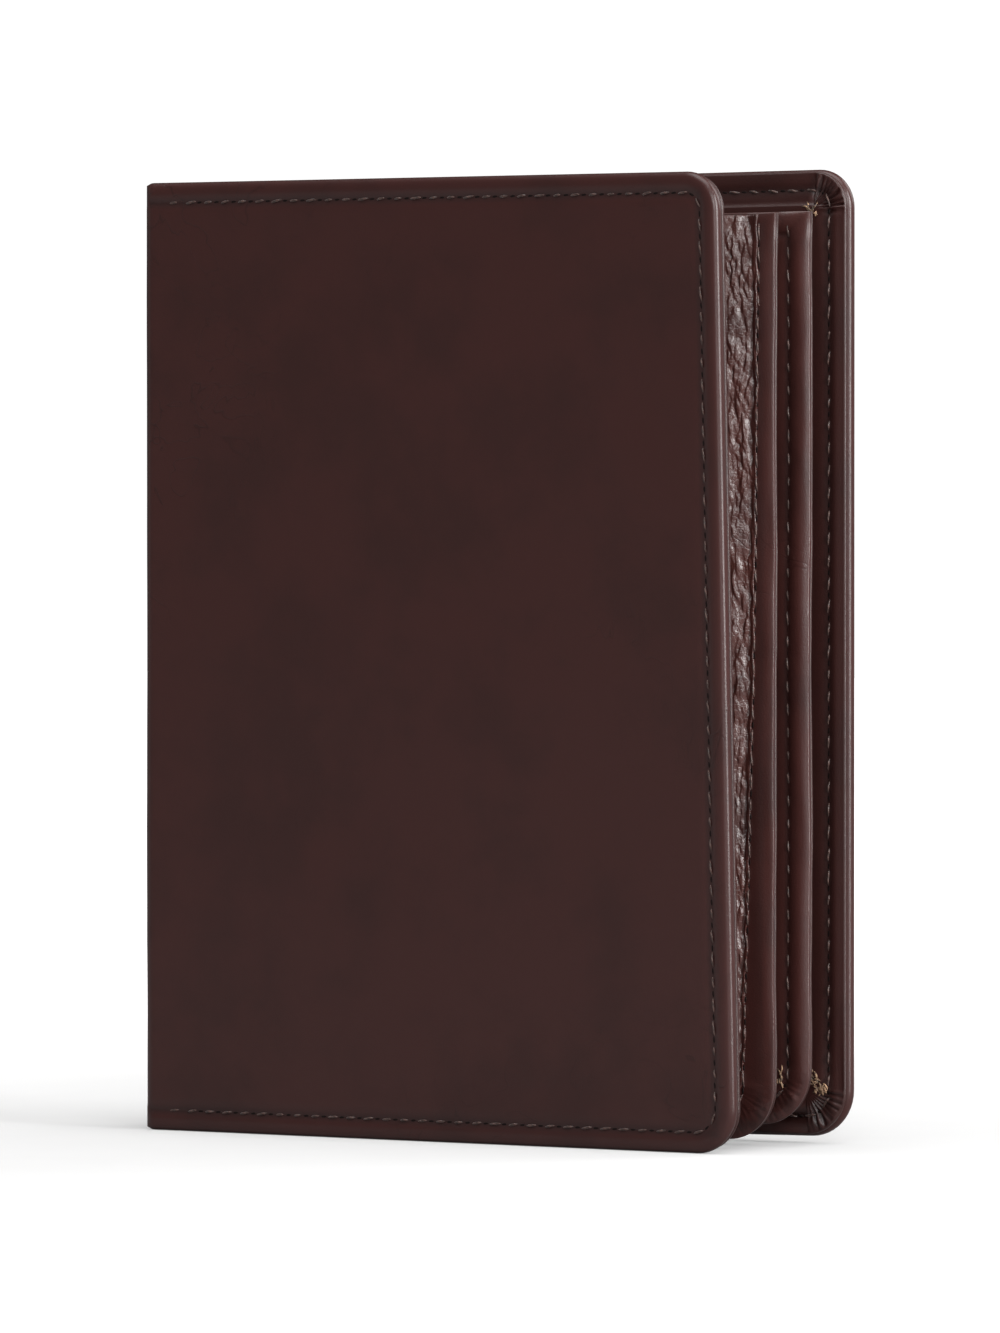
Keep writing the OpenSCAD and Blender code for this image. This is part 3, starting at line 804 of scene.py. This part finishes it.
def leaf_point(lay, leaf, x, y, z):
    """A point on a leaf, with the slight bow of its fore-edge."""
    out = max(0.0, x) / lay.leaf_width
    bow = ripple((0, z, 40 if leaf == "pouch_leaf" else 70), 30, 0.35) * out * out
    return getattr(lay, leaf) @ Vector((x, y + bow, z))


def open_window(bm, x0, x1, z0, z1, radius):
    """Cuts a rounded opening right through a sheet."""
    slice_at(bm, "x", (x0, x1))
    slice_at(bm, "y", (z0, z1))
    middles = [(face, face.calc_center_median()) for face in bm.faces]
    inside = [face for face, c in middles if x0 < c.x < x1 and z0 < c.y < z1]
    bmesh.ops.delete(bm, geom=inside, context="FACES")
    bmesh.ops.bridge_loops(bm, edges=[e for e in bm.edges if e.is_boundary])

    def upright(edge):
        a, b = (vert.co for vert in edge.verts)
        return (max(abs(a.x - b.x), abs(a.y - b.y)) < LAST * 5
                and min(abs(a.x - x0), abs(a.x - x1)) < 0.01 and min(abs(a.y - z0), abs(a.y - z1)) < 0.01)

    bmesh.ops.bevel(bm, geom=[e for e in bm.edges if upright(e)], offset=radius, offset_type="OFFSET",
                    affect="EDGES", segments=6, profile=0.5, material=-1)


def build_leaf(lay, leaf, side):
    """One of a leaf's leathers: the front one rolls over the fore-edge, the rear one stops just short."""
    front, pouch = side == "front", leaf == "pouch_leaf"
    near, far, inset = (-lay.leaf_half, 0.33, 0.0) if front else (0.42, lay.leaf_half, 0.32)
    x1, z0, top = lay.leaf_width - inset, lay.foot[leaf] + inset, lay.leaf_top
    middle, rise, radius = (near + far) / 2, (far - near) / 2 - 0.02, lay.leaf_radius - inset
    seam = (lay.leaf_seam[leaf] if front else lay.seam_inset) - inset
    roll = (2.4 if pouch else 1.4) if front else 0.4  # how far in the rolled edge reaches
    groove = [] if front and pouch else seam_groove(rise, seam, 0.17, 0.05, 0.6, roll)
    outline = (LEAF_START, x1, z0, top, (0, radius, 0, 0))
    bm = slab(outline, 0.02, leather_edge(rise, roll, 1.15 if front and pouch else 1.5) + groove + [(4.4, rise)],
              leather_edge(rise, 0.45 if front else 0.3), 26)
    if front and not pouch:
        open_window(bm, *WINDOW, 2)
    grid_cuts(bm, outline, 5, 4)

    def place(x, z, h):
        edge = min(x1 - x, z - z0)
        # Painted shade in the leaf's seam groove
        dark = painted_seam_shade(edge, seam)
        if h > 0.05:
            h += pleats(x, z, (x1 - radius, z0 + radius), radius, 11, 0.2, 4)
            if edge < 2.4:
                h += ripple((x * 2, z, 51 + lay.foot[leaf]), 3.0, 0.16) * min(1, edge * 1.5)
            elif edge > 3.6:
                h += ripple((x, z, 61), 14, 0.08)
        x += ripple((h, z, 81 + near), 9, 0.22) * max(0, 1 - (x1 - x) / 3)
        return leaf_point(lay, leaf, x, middle - h if front else middle + h, z), dark

    shaped(bm, place)
    finish_piece(bm, f"{leaf}_{side}", "Leaf calf" if front else "Inner calf", leaf, [f"{leaf}_{side}_leather"])


def build_hinge(lay, leaf):
    """The strip of leather that a leaf turns on, from the spine's lining into the leaf."""
    edge = [(0.04, 0.16), (0.14, 0.25), (0.3, 0.29)]
    bm = sheet((-0.5, 3.1, lay.foot[leaf] + 0.3, lay.leaf_top - 0.1, (0.4,) * 4), 0.01, edge, edge, 3, 0.3, 5)
    own = getattr(lay, leaf)
    moved(bm, lambda x, z, h: own @ Vector((x, h - ripple((x, z, 8), 3, 0.05), z)))
    piece = finish_piece(bm, leaf + "_hinge_strip", "Soft leather", replaces=[leaf + "_hinge"])
    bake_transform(piece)


class WALLET_OT_leaves(bpy.types.Operator):
    """Make the spine's lining, the two leaves with their hinge strips, and the leaves' card slots"""

    bl_idname = "wallet.leaves"
    bl_label = "Leaves and hinges"

    def execute(self, context):
        lay = layout()
        build_spine_lining(lay)
        for leaf in ("pouch_leaf", "card_leaf"):
            build_leaf(lay, leaf, "front")
            build_leaf(lay, leaf, "rear")
            build_hinge(lay, leaf)
            for i in range(3):
                mouth = lay.leaf_top - 14 - i * lay.slot_step
                foot = lay.foot[leaf] + 7 if i == 2 else mouth - lay.slot_step - 3
                build_slot(lay, leaf, f"{leaf}_slot_{i + 1}", 3.4, 88.6, foot, mouth, lay.leaf_half)
        return {"FINISHED"}


# ---- Coin pouch ----


def u_point(t, x0, x1, foot, top, radius):
    """A point on a U, for t from 0 to 1: down one side, round the foot and up the other."""
    down, round_one, along, round_two = 0.18, 0.21, 0.36, 0.41
    side, base, arc = top - foot - radius, x1 - x0 - 2 * radius, math.pi / 2
    if t < down:
        return Vector((x0, top - side * t / down))
    if t < round_one:
        a = (t - down) / (round_one - down) * arc
        return Vector((x0 + radius - radius * math.cos(a), foot + radius - radius * math.sin(a)))
    if t < along:
        return Vector((x0 + radius + base * (t - round_one) / (along - round_one), foot))
    if t < round_two:
        a = (t - along) / (round_two - along) * arc
        return Vector((x1 - radius + radius * math.sin(a), foot + radius - radius * math.cos(a)))
    return Vector((x1, foot + radius + side * (t - round_two) / (1 - round_two)))


def crackle(along, across, size_along, size_across, seed, width):
    """How near a point is to the crossing lines of a stretched, irregular net: 1 on a line."""
    warp = noise.noise(Vector((along / 5, across / 3, seed))) * 1.3
    spot = Vector(((along + warp) / size_along, (across + warp * 0.35) / size_across, seed))
    nearest, second = noise.voronoi(spot)[0][:2]
    return bell(second - nearest, width)


# Families of creases in the soft leather: lean, length, spacing, depth, and width as a share
CREASES = ((0.07, 10.0, 0.72, 0.17, 0.22), (-0.12, 8.0, 0.62, 0.13, 0.22),
           (0.30, 7.0, 1.0, 0.13, 0.15), (-0.42, 6.0, 1.1, 0.12, 0.14))


def wrinkle(along, across):
    """Height of the crinkled soft leather: long folds, leaning creases and a fine crackle."""
    height = noise.noise(Vector((along / 11, across / 1.3, 5.2))) * 0.24
    for lean, long, wide, deep, width in CREASES:
        skew = across + along * lean + 0.5 * noise.noise(Vector((along / 6, across / 4, lean)))
        height -= deep * bell(noise.noise(Vector((along / long, skew / wide, 9.1 + lean))), width)
    return height - crackle(along, across, 1.5, 0.6, 3.5, 0.24) * 0.055


def pouch_drift(lay, z):
    """How far the gusset's line on the leaf draws in towards the foot."""
    fall = max(0.0, lay.leaf_top - z) / lay.leaf_top
    return 2.6 * fall * fall


def build_gusset(lay):
    """The pouch's soft gusset: a crinkled strip that slopes from the leaf to the front wall."""
    bm = bmesh.new()
    bmesh.ops.create_grid(bm, x_segments=660, y_segments=54, size=0.5)
    foot, top, width = 4.9, lay.leaf_top - 0.2, 5.8
    whole = 2 * (top - foot) + 84  # length of the strip

    def place(x, y, _):
        t, a = x + 0.5, y + 0.5
        o = u_point(t, 4.2, 90.1, foot - 1.2, top, 6.0)
        i = u_point(t, 5.6, 83.8, POUCH_WALL[2], top - 0.25, 2.2)
        o.x -= pouch_drift(lay, o.y) * within(0.0, (o.x - ROLL_FROM) / 30, 1.0)
        o.x += 0.25 * ripple((o.y, o.x, 17), 2.2, 1.0)
        flat = o.lerp(i, a)
        slope = max(0.0, (a - 0.10) / 0.90)
        along = o.y if t > 0.41 else t * whole
        lift = lay.pouch_depth * slope ** 0.9 + 0.16 * math.sin(math.pi * slope)
        lift += 0.25 + 0.10 * max(0.0, 1 - a / 0.1) + 0.20 * min(1.0, a / 0.06)
        lift += wrinkle(along, a * width) * min(1.0, a / 0.1, (1 - a) / 0.12 + 0.25)
        lift += 0.10 * ripple((along, a * 4, 7), 13, 1.0)
        rim = max(0.0, (flat.y - top + 6) / 6)
        lift -= 0.75 * rim * rim * bell(a - 0.24, 0.12)  # the fold at the mouth
        return lay.pouch_leaf @ Vector((flat.x, -(lay.leaf_half + lift), flat.y))

    moved(bm, place)
    bmesh.ops.recalc_face_normals(bm, faces=bm.faces)
    if sum(f.normal.y for f in bm.faces) > 0:
        bmesh.ops.reverse_faces(bm, faces=bm.faces)
    bmesh.ops.solidify(bm, geom=bm.faces, thickness=GUSSET_SKIN)
    finish_piece(bm, "pouch_gusset_leather", "Soft leather", "pouch_leaf", ["pouch_gusset"])


def build_pouch_wall(lay):
    """The pouch's front wall, with a turned hem at its mouth."""
    (x0, x1, z0), top, rise = POUCH_WALL, lay.leaf_top, 0.38
    edge = leather_edge(rise)
    bm = sheet((x0, x1, z0, top, (3.4, 3.4, 0, 0)), 0.02,
               edge + seam_groove(rise, POUCH_HEM, 0.12, 0.04, 0.45), edge, 8, 4, 4)

    def place(x, z, h):
        edge = min(x - x0, x1 - x, z - z0, top - z)
        if edge > 0.3:
            h += ripple((x, z, 15), 11, 0.10) + ripple((x, z, 25), 4, 0.03)
        depth = lay.leaf_half + lay.pouch_depth + 0.4 + h
        # Painted shade in the seam groove of the pouch wall's hem
        return lay.pouch_leaf @ Vector((x, -depth, z)), painted_seam_shade(edge, POUCH_HEM)

    shaped(bm, place)
    finish_piece(bm, "pouch_wall_leather", "Polished calf", "pouch_leaf", ["pouch_front_wall"])


def build_pouch_lining(lay):
    """The cloth that lines the pouch, on the leaf's face."""
    outline = (5, 87, 5.7, lay.leaf_top, (3, 3, 0.5, 0.5))
    bm = slab((*outline[:3], lay.leaf_top - 0.4, outline[4]), 0.01, [(0.05, 0.05)], [(0.05, 0.04)], 4)
    grid_cuts(bm, outline, 4, 4)

    def place(x, z, h):
        depth = lay.leaf_half + 0.12 + h + abs(ripple((x, z, 35), 7, 0.12))
        return lay.pouch_leaf @ Vector((x, -depth, z))

    moved(bm, place)
    finish_piece(bm, "pouch_lining_cloth", "Twill lining", "pouch_leaf", ["pouch_lining"])


class WALLET_OT_pouch(bpy.types.Operator):
    """Make the coin pouch: crinkled gusset, front wall and lining"""

    bl_idname = "wallet.pouch"
    bl_label = "Coin pouch"

    def execute(self, context):
        lay = layout()
        build_gusset(lay)
        build_pouch_wall(lay)
        build_pouch_lining(lay)
        return {"FINISHED"}


# ---- Seams ----


def seam_run(points, radii):
    """A polyline with rounded corners: its length, and a function to its points and directions."""
    legs, at = [], points[0]
    for i in range(1, len(points)):
        corner, radius = points[i], radii[i]
        run = (corner - at).normalized()
        stop = corner - run * radius
        legs.append((at, run, None, 0, (stop - at).length))
        at = corner
        if radius > 0:
            after = (points[i + 1] - corner).normalized()
            legs.append((stop + after * radius, run, after, radius, math.pi / 2 * radius))
            at = corner + after * radius

    def point(distance):
        for leg in legs[:-1]:
            if distance <= leg[-1]:
                break
            distance -= leg[-1]
        else:
            leg = legs[-1]
        start, run, after, radius, _ = leg
        if after is None:
            return start + run * distance, run
        turned, ahead = math.sin(distance / radius), math.cos(distance / radius)
        return start + (run * turned - after * ahead) * radius, run * ahead + after * turned

    return sum(leg[-1] for leg in legs), point


def build_seam(lay, name, body, points, radii, place, replaces=(), slant=8, seed=1, tight=0.0):
    """A row of stitches along a run: sunk threads, and near-black pits between them that paint the shade of the
    needle holes.
    """
    rng = random.Random(seed)
    total, point = seam_run([Vector(p) for p in points], radii)
    count = int(total / lay.stitch_pitch)
    step = total / count
    thread, hole_shade = bmesh.new(), bmesh.new()
    for i in range(count):
        for bm, offset in ((thread, 0.5), (hole_shade, 0.0)):
            middle, run = point((i + offset) * step)
            lean = math.radians(slant + rng.uniform(-4, 4))
            across = Vector((-run.y, run.x))
            run, across = (run * math.cos(lean) + across * math.sin(lean),
                           across * math.cos(lean) - run * math.sin(lean))
            if bm is thread:
                made = bmesh.ops.create_uvsphere(bm, u_segments=6, v_segments=6, radius=0.5,
                                                 matrix=Matrix.Rotation(math.pi / 2, 4, "Y"))
                size = (lay.stitch_length + rng.uniform(-0.75, 0.1), lay.thread * 0.8, lay.thread * 0.75)
                dip, rise = 0.26, -0.10 - tight + rng.uniform(-0.04, 0.05)
            else:
                # Flat dark pits: painted shade of the needle holes
                made = bmesh.ops.create_uvsphere(bm, u_segments=8, v_segments=4, radius=0.5)
                size, dip, rise = (0.85, 0.36, 0.05), 0.0, -0.185 - tight
            for vert in made["verts"]:
                x, y, z = vert.co
                flat = middle + run * (x * size[0]) + across * (y * size[1])
                vert.co = place(flat.x, flat.y, z * size[2] + rise - dip * (2 * x) ** 4)
    finish_piece(thread, name + "_thread", "Waxed thread", body, replaces)
    finish_piece(hole_shade, name + "_painted_hole_shade", "Needle hole", body, ())


def cover_seams(lay, body, order):
    """Both faces of a cover's seam: along the top, down the fore-edge and back along the foot."""
    side, inset = body.split("_")[0], lay.seam_inset
    x, z0, z1 = lay.cover_width - inset, inset, lay.cover_height - inset
    points = [(SEAM_START, z1), (x, z1), (x, z0), (SEAM_START, z0)]
    radii = (0, lay.top_radius - inset, lay.foot_radius - inset, 0)

    def inside(u, z, h):
        return cover_point(lay, body, u, lay.cover_thickness + pocket_rise(body, z) + h, z)

    build_seam(lay, side + "_seam_outside", body, points, radii,
               lambda u, z, h: cover_point(lay, body, u, -h, z), [side + "_seam"], seed=10 + order)
    build_seam(lay, side + "_seam_inside", body, points, radii, inside, slant=-7, seed=20 + order, tight=-0.03)


def leaf_seams(lay, leaf, order):
    """Both faces of a leaf's seam; the pouch leaf's front one is sewn through the gusset."""
    def front(u, z, h):
        if leaf == "card_leaf":
            return leaf_point(lay, leaf, u, -lay.leaf_half - h, z)
        drift = pouch_drift(lay, z) * max(0.0, (u - ROLL_FROM) / 30)
        return leaf_point(lay, leaf, u - drift, -lay.leaf_half - GUSSET_SKIN - h, z)

    def rear(u, z, h):
        return leaf_point(lay, leaf, u, lay.leaf_half + h, z)

    for place, inset, swapped, slant, seed in ((front, lay.leaf_seam[leaf], [leaf + "_seam"], 5, 30),
                                               (rear, lay.seam_inset, (), -6, 40)):
        x, z0 = lay.leaf_width - inset, lay.foot[leaf] + inset
        build_seam(lay, f"{leaf}_seam_{place.__name__}", leaf, [(7.5, z0), (x, z0), (x, lay.leaf_top - 1)],
                   (0, lay.leaf_radius - inset, 0), place, swapped, slant=slant, seed=seed + order)


def pouch_seam(lay):
    """The seam round the pouch's front wall."""
    x0, x1, z0 = (POUCH_WALL[i] + POUCH_HEM * way for i, way in enumerate((1, -1, 1)))
    z1, depth = lay.leaf_top - POUCH_HEM, lay.leaf_half + lay.pouch_depth + 0.78
    build_seam(lay, "pouch_wall_seam", "pouch_leaf", [(x0, z1), (x1, z1), (x1, z0), (x0, z0), (x0, z1)],
               (0, 0.6, 1, 1, 0), lambda u, z, h: lay.pouch_leaf @ Vector((u, -depth - h, z)),
               slant=6, seed=50, tight=-0.05)


class WALLET_OT_seams(bpy.types.Operator):
    """Sew every seam: the covers outside and inside, the leaves, and the pouch's hem"""

    bl_idname = "wallet.seams"
    bl_label = "Seams"

    def execute(self, context):
        lay = layout()
        for order, body in enumerate(("front_cover", "back_cover")):
            cover_seams(lay, body, order)
        for order, leaf in enumerate(("pouch_leaf", "card_leaf")):
            leaf_seams(lay, leaf, order)
        pouch_seam(lay)
        return {"FINISHED"}


def build_flecks(name, body, spots, place, seed):
    """Small torn fibres of undyed leather and thread ends gathered at a corner."""
    rng = random.Random(seed)
    bm = bmesh.new()
    for u, z, reach, count in spots:
        for _ in range(count):
            made = bmesh.ops.create_icosphere(bm, subdivisions=1, radius=0.5)
            angle = rng.uniform(0, math.pi)
            long, wide = rng.uniform(0.5, 1.7), rng.uniform(0.12, 0.42)
            cu, cz = u + rng.uniform(-reach, reach), z + rng.uniform(-reach, reach)
            for vert in made["verts"]:
                a = vert.co.x * long
                b = vert.co.y * wide + 0.5 * a * a
                x = a * math.cos(angle) - b * math.sin(angle)
                y = a * math.sin(angle) + b * math.cos(angle)
                vert.co = place(cu + x, cz + y, 0.06 + vert.co.z * 0.22)
    finish_piece(bm, name, "Raw leather edge", body, ())


class WALLET_OT_corner_details(bpy.types.Operator):
    """Add the torn fibres and thread ends at the inside corners"""

    bl_idname = "wallet.corner_details"
    bl_label = "Corner details"

    def execute(self, context):
        lay = layout()
        wide, high, leaf = lay.cover_width, lay.cover_height, lay.leaf_width

        def on_back(u, z, h):
            depth = lay.cover_thickness + pocket_rise("back_cover", z) + h
            return cover_point(lay, "back_cover", u, depth, z)

        build_flecks("back_corner_fibres", "back_cover",
                     [(wide - 5.6, 7.4, 1.3, 34), (wide - 3.6, 6.0, 0.9, 14), (wide - 7.0, 5.4, 0.8, 10),
                      (wide - 5.2, high - 5.2, 0.8, 10)], on_back, 5)
        build_flecks("card_leaf_corner_fibres", "card_leaf",
                     [(leaf - 4.6, 8.4, 1.0, 26), (leaf - 6.2, 9.8, 0.7, 10)],
                     lambda u, z, h: leaf_point(lay, "card_leaf", u, -lay.leaf_half - h, z), 6)
        return {"FINISHED"}


# ---- Studio ----


def facing(thing, azimuth, elevation, distance, aim):
    """Puts a lamp or camera at a distance from a point, looking at it; angles are in degrees."""
    a, e = math.radians(azimuth), math.radians(elevation)
    back = Vector((math.sin(a) * math.cos(e), -math.cos(a) * math.cos(e), math.sin(e)))
    placed = bpy.data.objects.new(thing.name, thing)
    placed.location = Vector(aim) + back * distance
    placed.rotation_euler = (-back).to_track_quat("-Z", "Y").to_euler()
    bpy.context.scene.collection.objects.link(placed)
    return placed


def softbox(name, azimuth, elevation, distance, size, radiance):
    """A square softbox that looks at the wallet; its power follows from the brightness asked for."""
    light = bpy.data.lights.new(name, "AREA")
    light.shape = "RECTANGLE"
    light.size, light.size_y = size
    light.energy = radiance * math.pi * size[0] * size[1]
    facing(light, azimuth, elevation, distance, (0, 0, 0.0625))


def floor_material():
    """Pale studio floor: bright paper that takes a faint shadow near the wallet and glows further off."""
    tree, shader = new_material("Studio floor", Specular_IOR_Level=0.0)
    where = place_of(tree)
    tooth = cloudy(tree, where, 90.0, 3.0)
    seen = add(tree, "ShaderNodeLightPath").outputs["Is Camera Ray"]
    paper = mixed(tree, tooth, (0.45, 0.45, 0.45, 1), (0.47, 0.47, 0.47, 1))
    painted(tree, shader, mixed(tree, seen, (0.26, 0.25, 0.25, 1), paper), ranged(tree, tooth, 0.3, 0.7, 0.85, 0.95))
    far = add(tree, "ShaderNodeVectorMath", {0: where}, operation="LENGTH").outputs["Value"]
    strength = sums(tree, "MULTIPLY", seen, ranged(tree, far, 0.10, 0.5, 0.27, 1.1))
    glow = add(tree, "ShaderNodeEmission", {"Color": (1, 1, 1, 1), "Strength": strength})
    both = add(tree, "ShaderNodeAddShader", {0: shader.outputs[0], 1: glow.outputs[0]})
    output = next(n for n in tree.nodes if n.type == "OUTPUT_MATERIAL")
    tree.links.new(both.outputs[0], output.inputs["Surface"])


def studio_world():
    """White behind the wallet; a dim grey room in its reflections."""
    world = bpy.data.worlds.new("Studio")
    bpy.context.scene.world = world
    world.use_nodes = True
    tree = world.node_tree
    tree.nodes.clear()
    path = add(tree, "ShaderNodeLightPath").outputs
    dim = ranged(tree, path["Is Glossy Ray"], 0.0, 1.0, 0.46, 0.09)
    room = add(tree, "ShaderNodeBackground", {"Color": (1, 0.985, 0.975, 1), "Strength": dim})
    paper = add(tree, "ShaderNodeBackground", {"Color": (1, 1, 1, 1), "Strength": 1.05})
    both = add(tree, "ShaderNodeMixShader", {0: path["Is Camera Ray"], 1: room.outputs[0], 2: paper.outputs[0]})
    add(tree, "ShaderNodeOutputWorld", {"Surface": both.outputs[0]})


class WALLET_OT_studio(bpy.types.Operator):
    """Set the pale floor, the softboxes, the white background and the camera"""

    bl_idname = "wallet.studio"
    bl_label = "Studio"

    def execute(self, context):
        scene = context.scene
        scene.view_settings.view_transform = "Standard"
        studio_world()
        floor_material()
        bm = bmesh.new()
        bmesh.ops.create_grid(bm, x_segments=2, y_segments=2, size=3000)
        bmesh.ops.translate(bm, vec=(0, 0, -0.02), verts=bm.verts)
        finish_piece(bm, "studio_floor", "Studio floor", keep_normals=True)
        softbox("Softbox right", 84, 10, 1.0, (0.26, 1.1), 19.0)
        softbox("Softbox by the camera", 40, 20, 1.3, (0.55, 0.6), 7.4)
        softbox("Softbox behind", 150, 30, 1.1, (0.6, 0.8), 3.2)
        softbox("Overhead", 10, 80, 1.2, (1.2, 1.0), 3.0)
        softbox("Fill left", -75, 15, 1.5, (0.5, 1.2), 0.25)
        data = bpy.data.cameras.new("Camera")
        data.sensor_width, data.lens = 36, 296.8
        data.clip_start, data.clip_end = 0.05, 20
        azimuth, aside = 31.89, 0.00264  # aside is how far the aim stands to the right of the middle
        a = math.radians(azimuth)
        scene.camera = facing(data, azimuth, 0.94, 1.4321, (aside * math.cos(a), aside * math.sin(a), 0.0615))
        return {"FINISHED"}


class WALLET_PT_build(bpy.types.Panel):
    """Lists the wallet's operators in the order they run, and its sizes and colours"""

    bl_idname = "WALLET_PT_build"
    bl_label = "Trifold wallet"
    bl_space_type = "VIEW_3D"
    bl_region_type = "UI"
    bl_category = "Wallet"

    def draw(self, context):
        column = self.layout.column()
        for step in STEPS:
            column.operator(step.bl_idname)
        for group in (context.scene.wallet_sizes, context.scene.wallet_colours):
            box = self.layout.box()
            for name in type(group).__annotations__:
                box.prop(group, name)


STEPS = (WALLET_OT_materials, WALLET_OT_wrap, WALLET_OT_cover_insides, WALLET_OT_leaves, WALLET_OT_pouch,
         WALLET_OT_seams, WALLET_OT_corner_details, WALLET_OT_studio)
CLASSES = (WalletSizes, WalletColours, *STEPS, WALLET_PT_build)


def register():
    """Adds the classes and the scene's own sizes and colours."""
    for made in CLASSES:
        bpy.utils.register_class(made)
    bpy.types.Scene.wallet_sizes = PointerProperty(type=WalletSizes)
    bpy.types.Scene.wallet_colours = PointerProperty(type=WalletColours)


def unregister():
    """Removes them again."""
    del bpy.types.Scene.wallet_sizes
    del bpy.types.Scene.wallet_colours
    for made in reversed(CLASSES):
        bpy.utils.unregister_class(made)


def main():
    register()
    bpy.ops.wallet.materials()
    bpy.ops.wallet.wrap()
    bpy.ops.wallet.cover_insides()
    bpy.ops.wallet.leaves()
    bpy.ops.wallet.pouch()
    bpy.ops.wallet.seams()
    bpy.ops.wallet.corner_details()
    bpy.ops.wallet.studio()


if __name__ == "__main__":
    main()
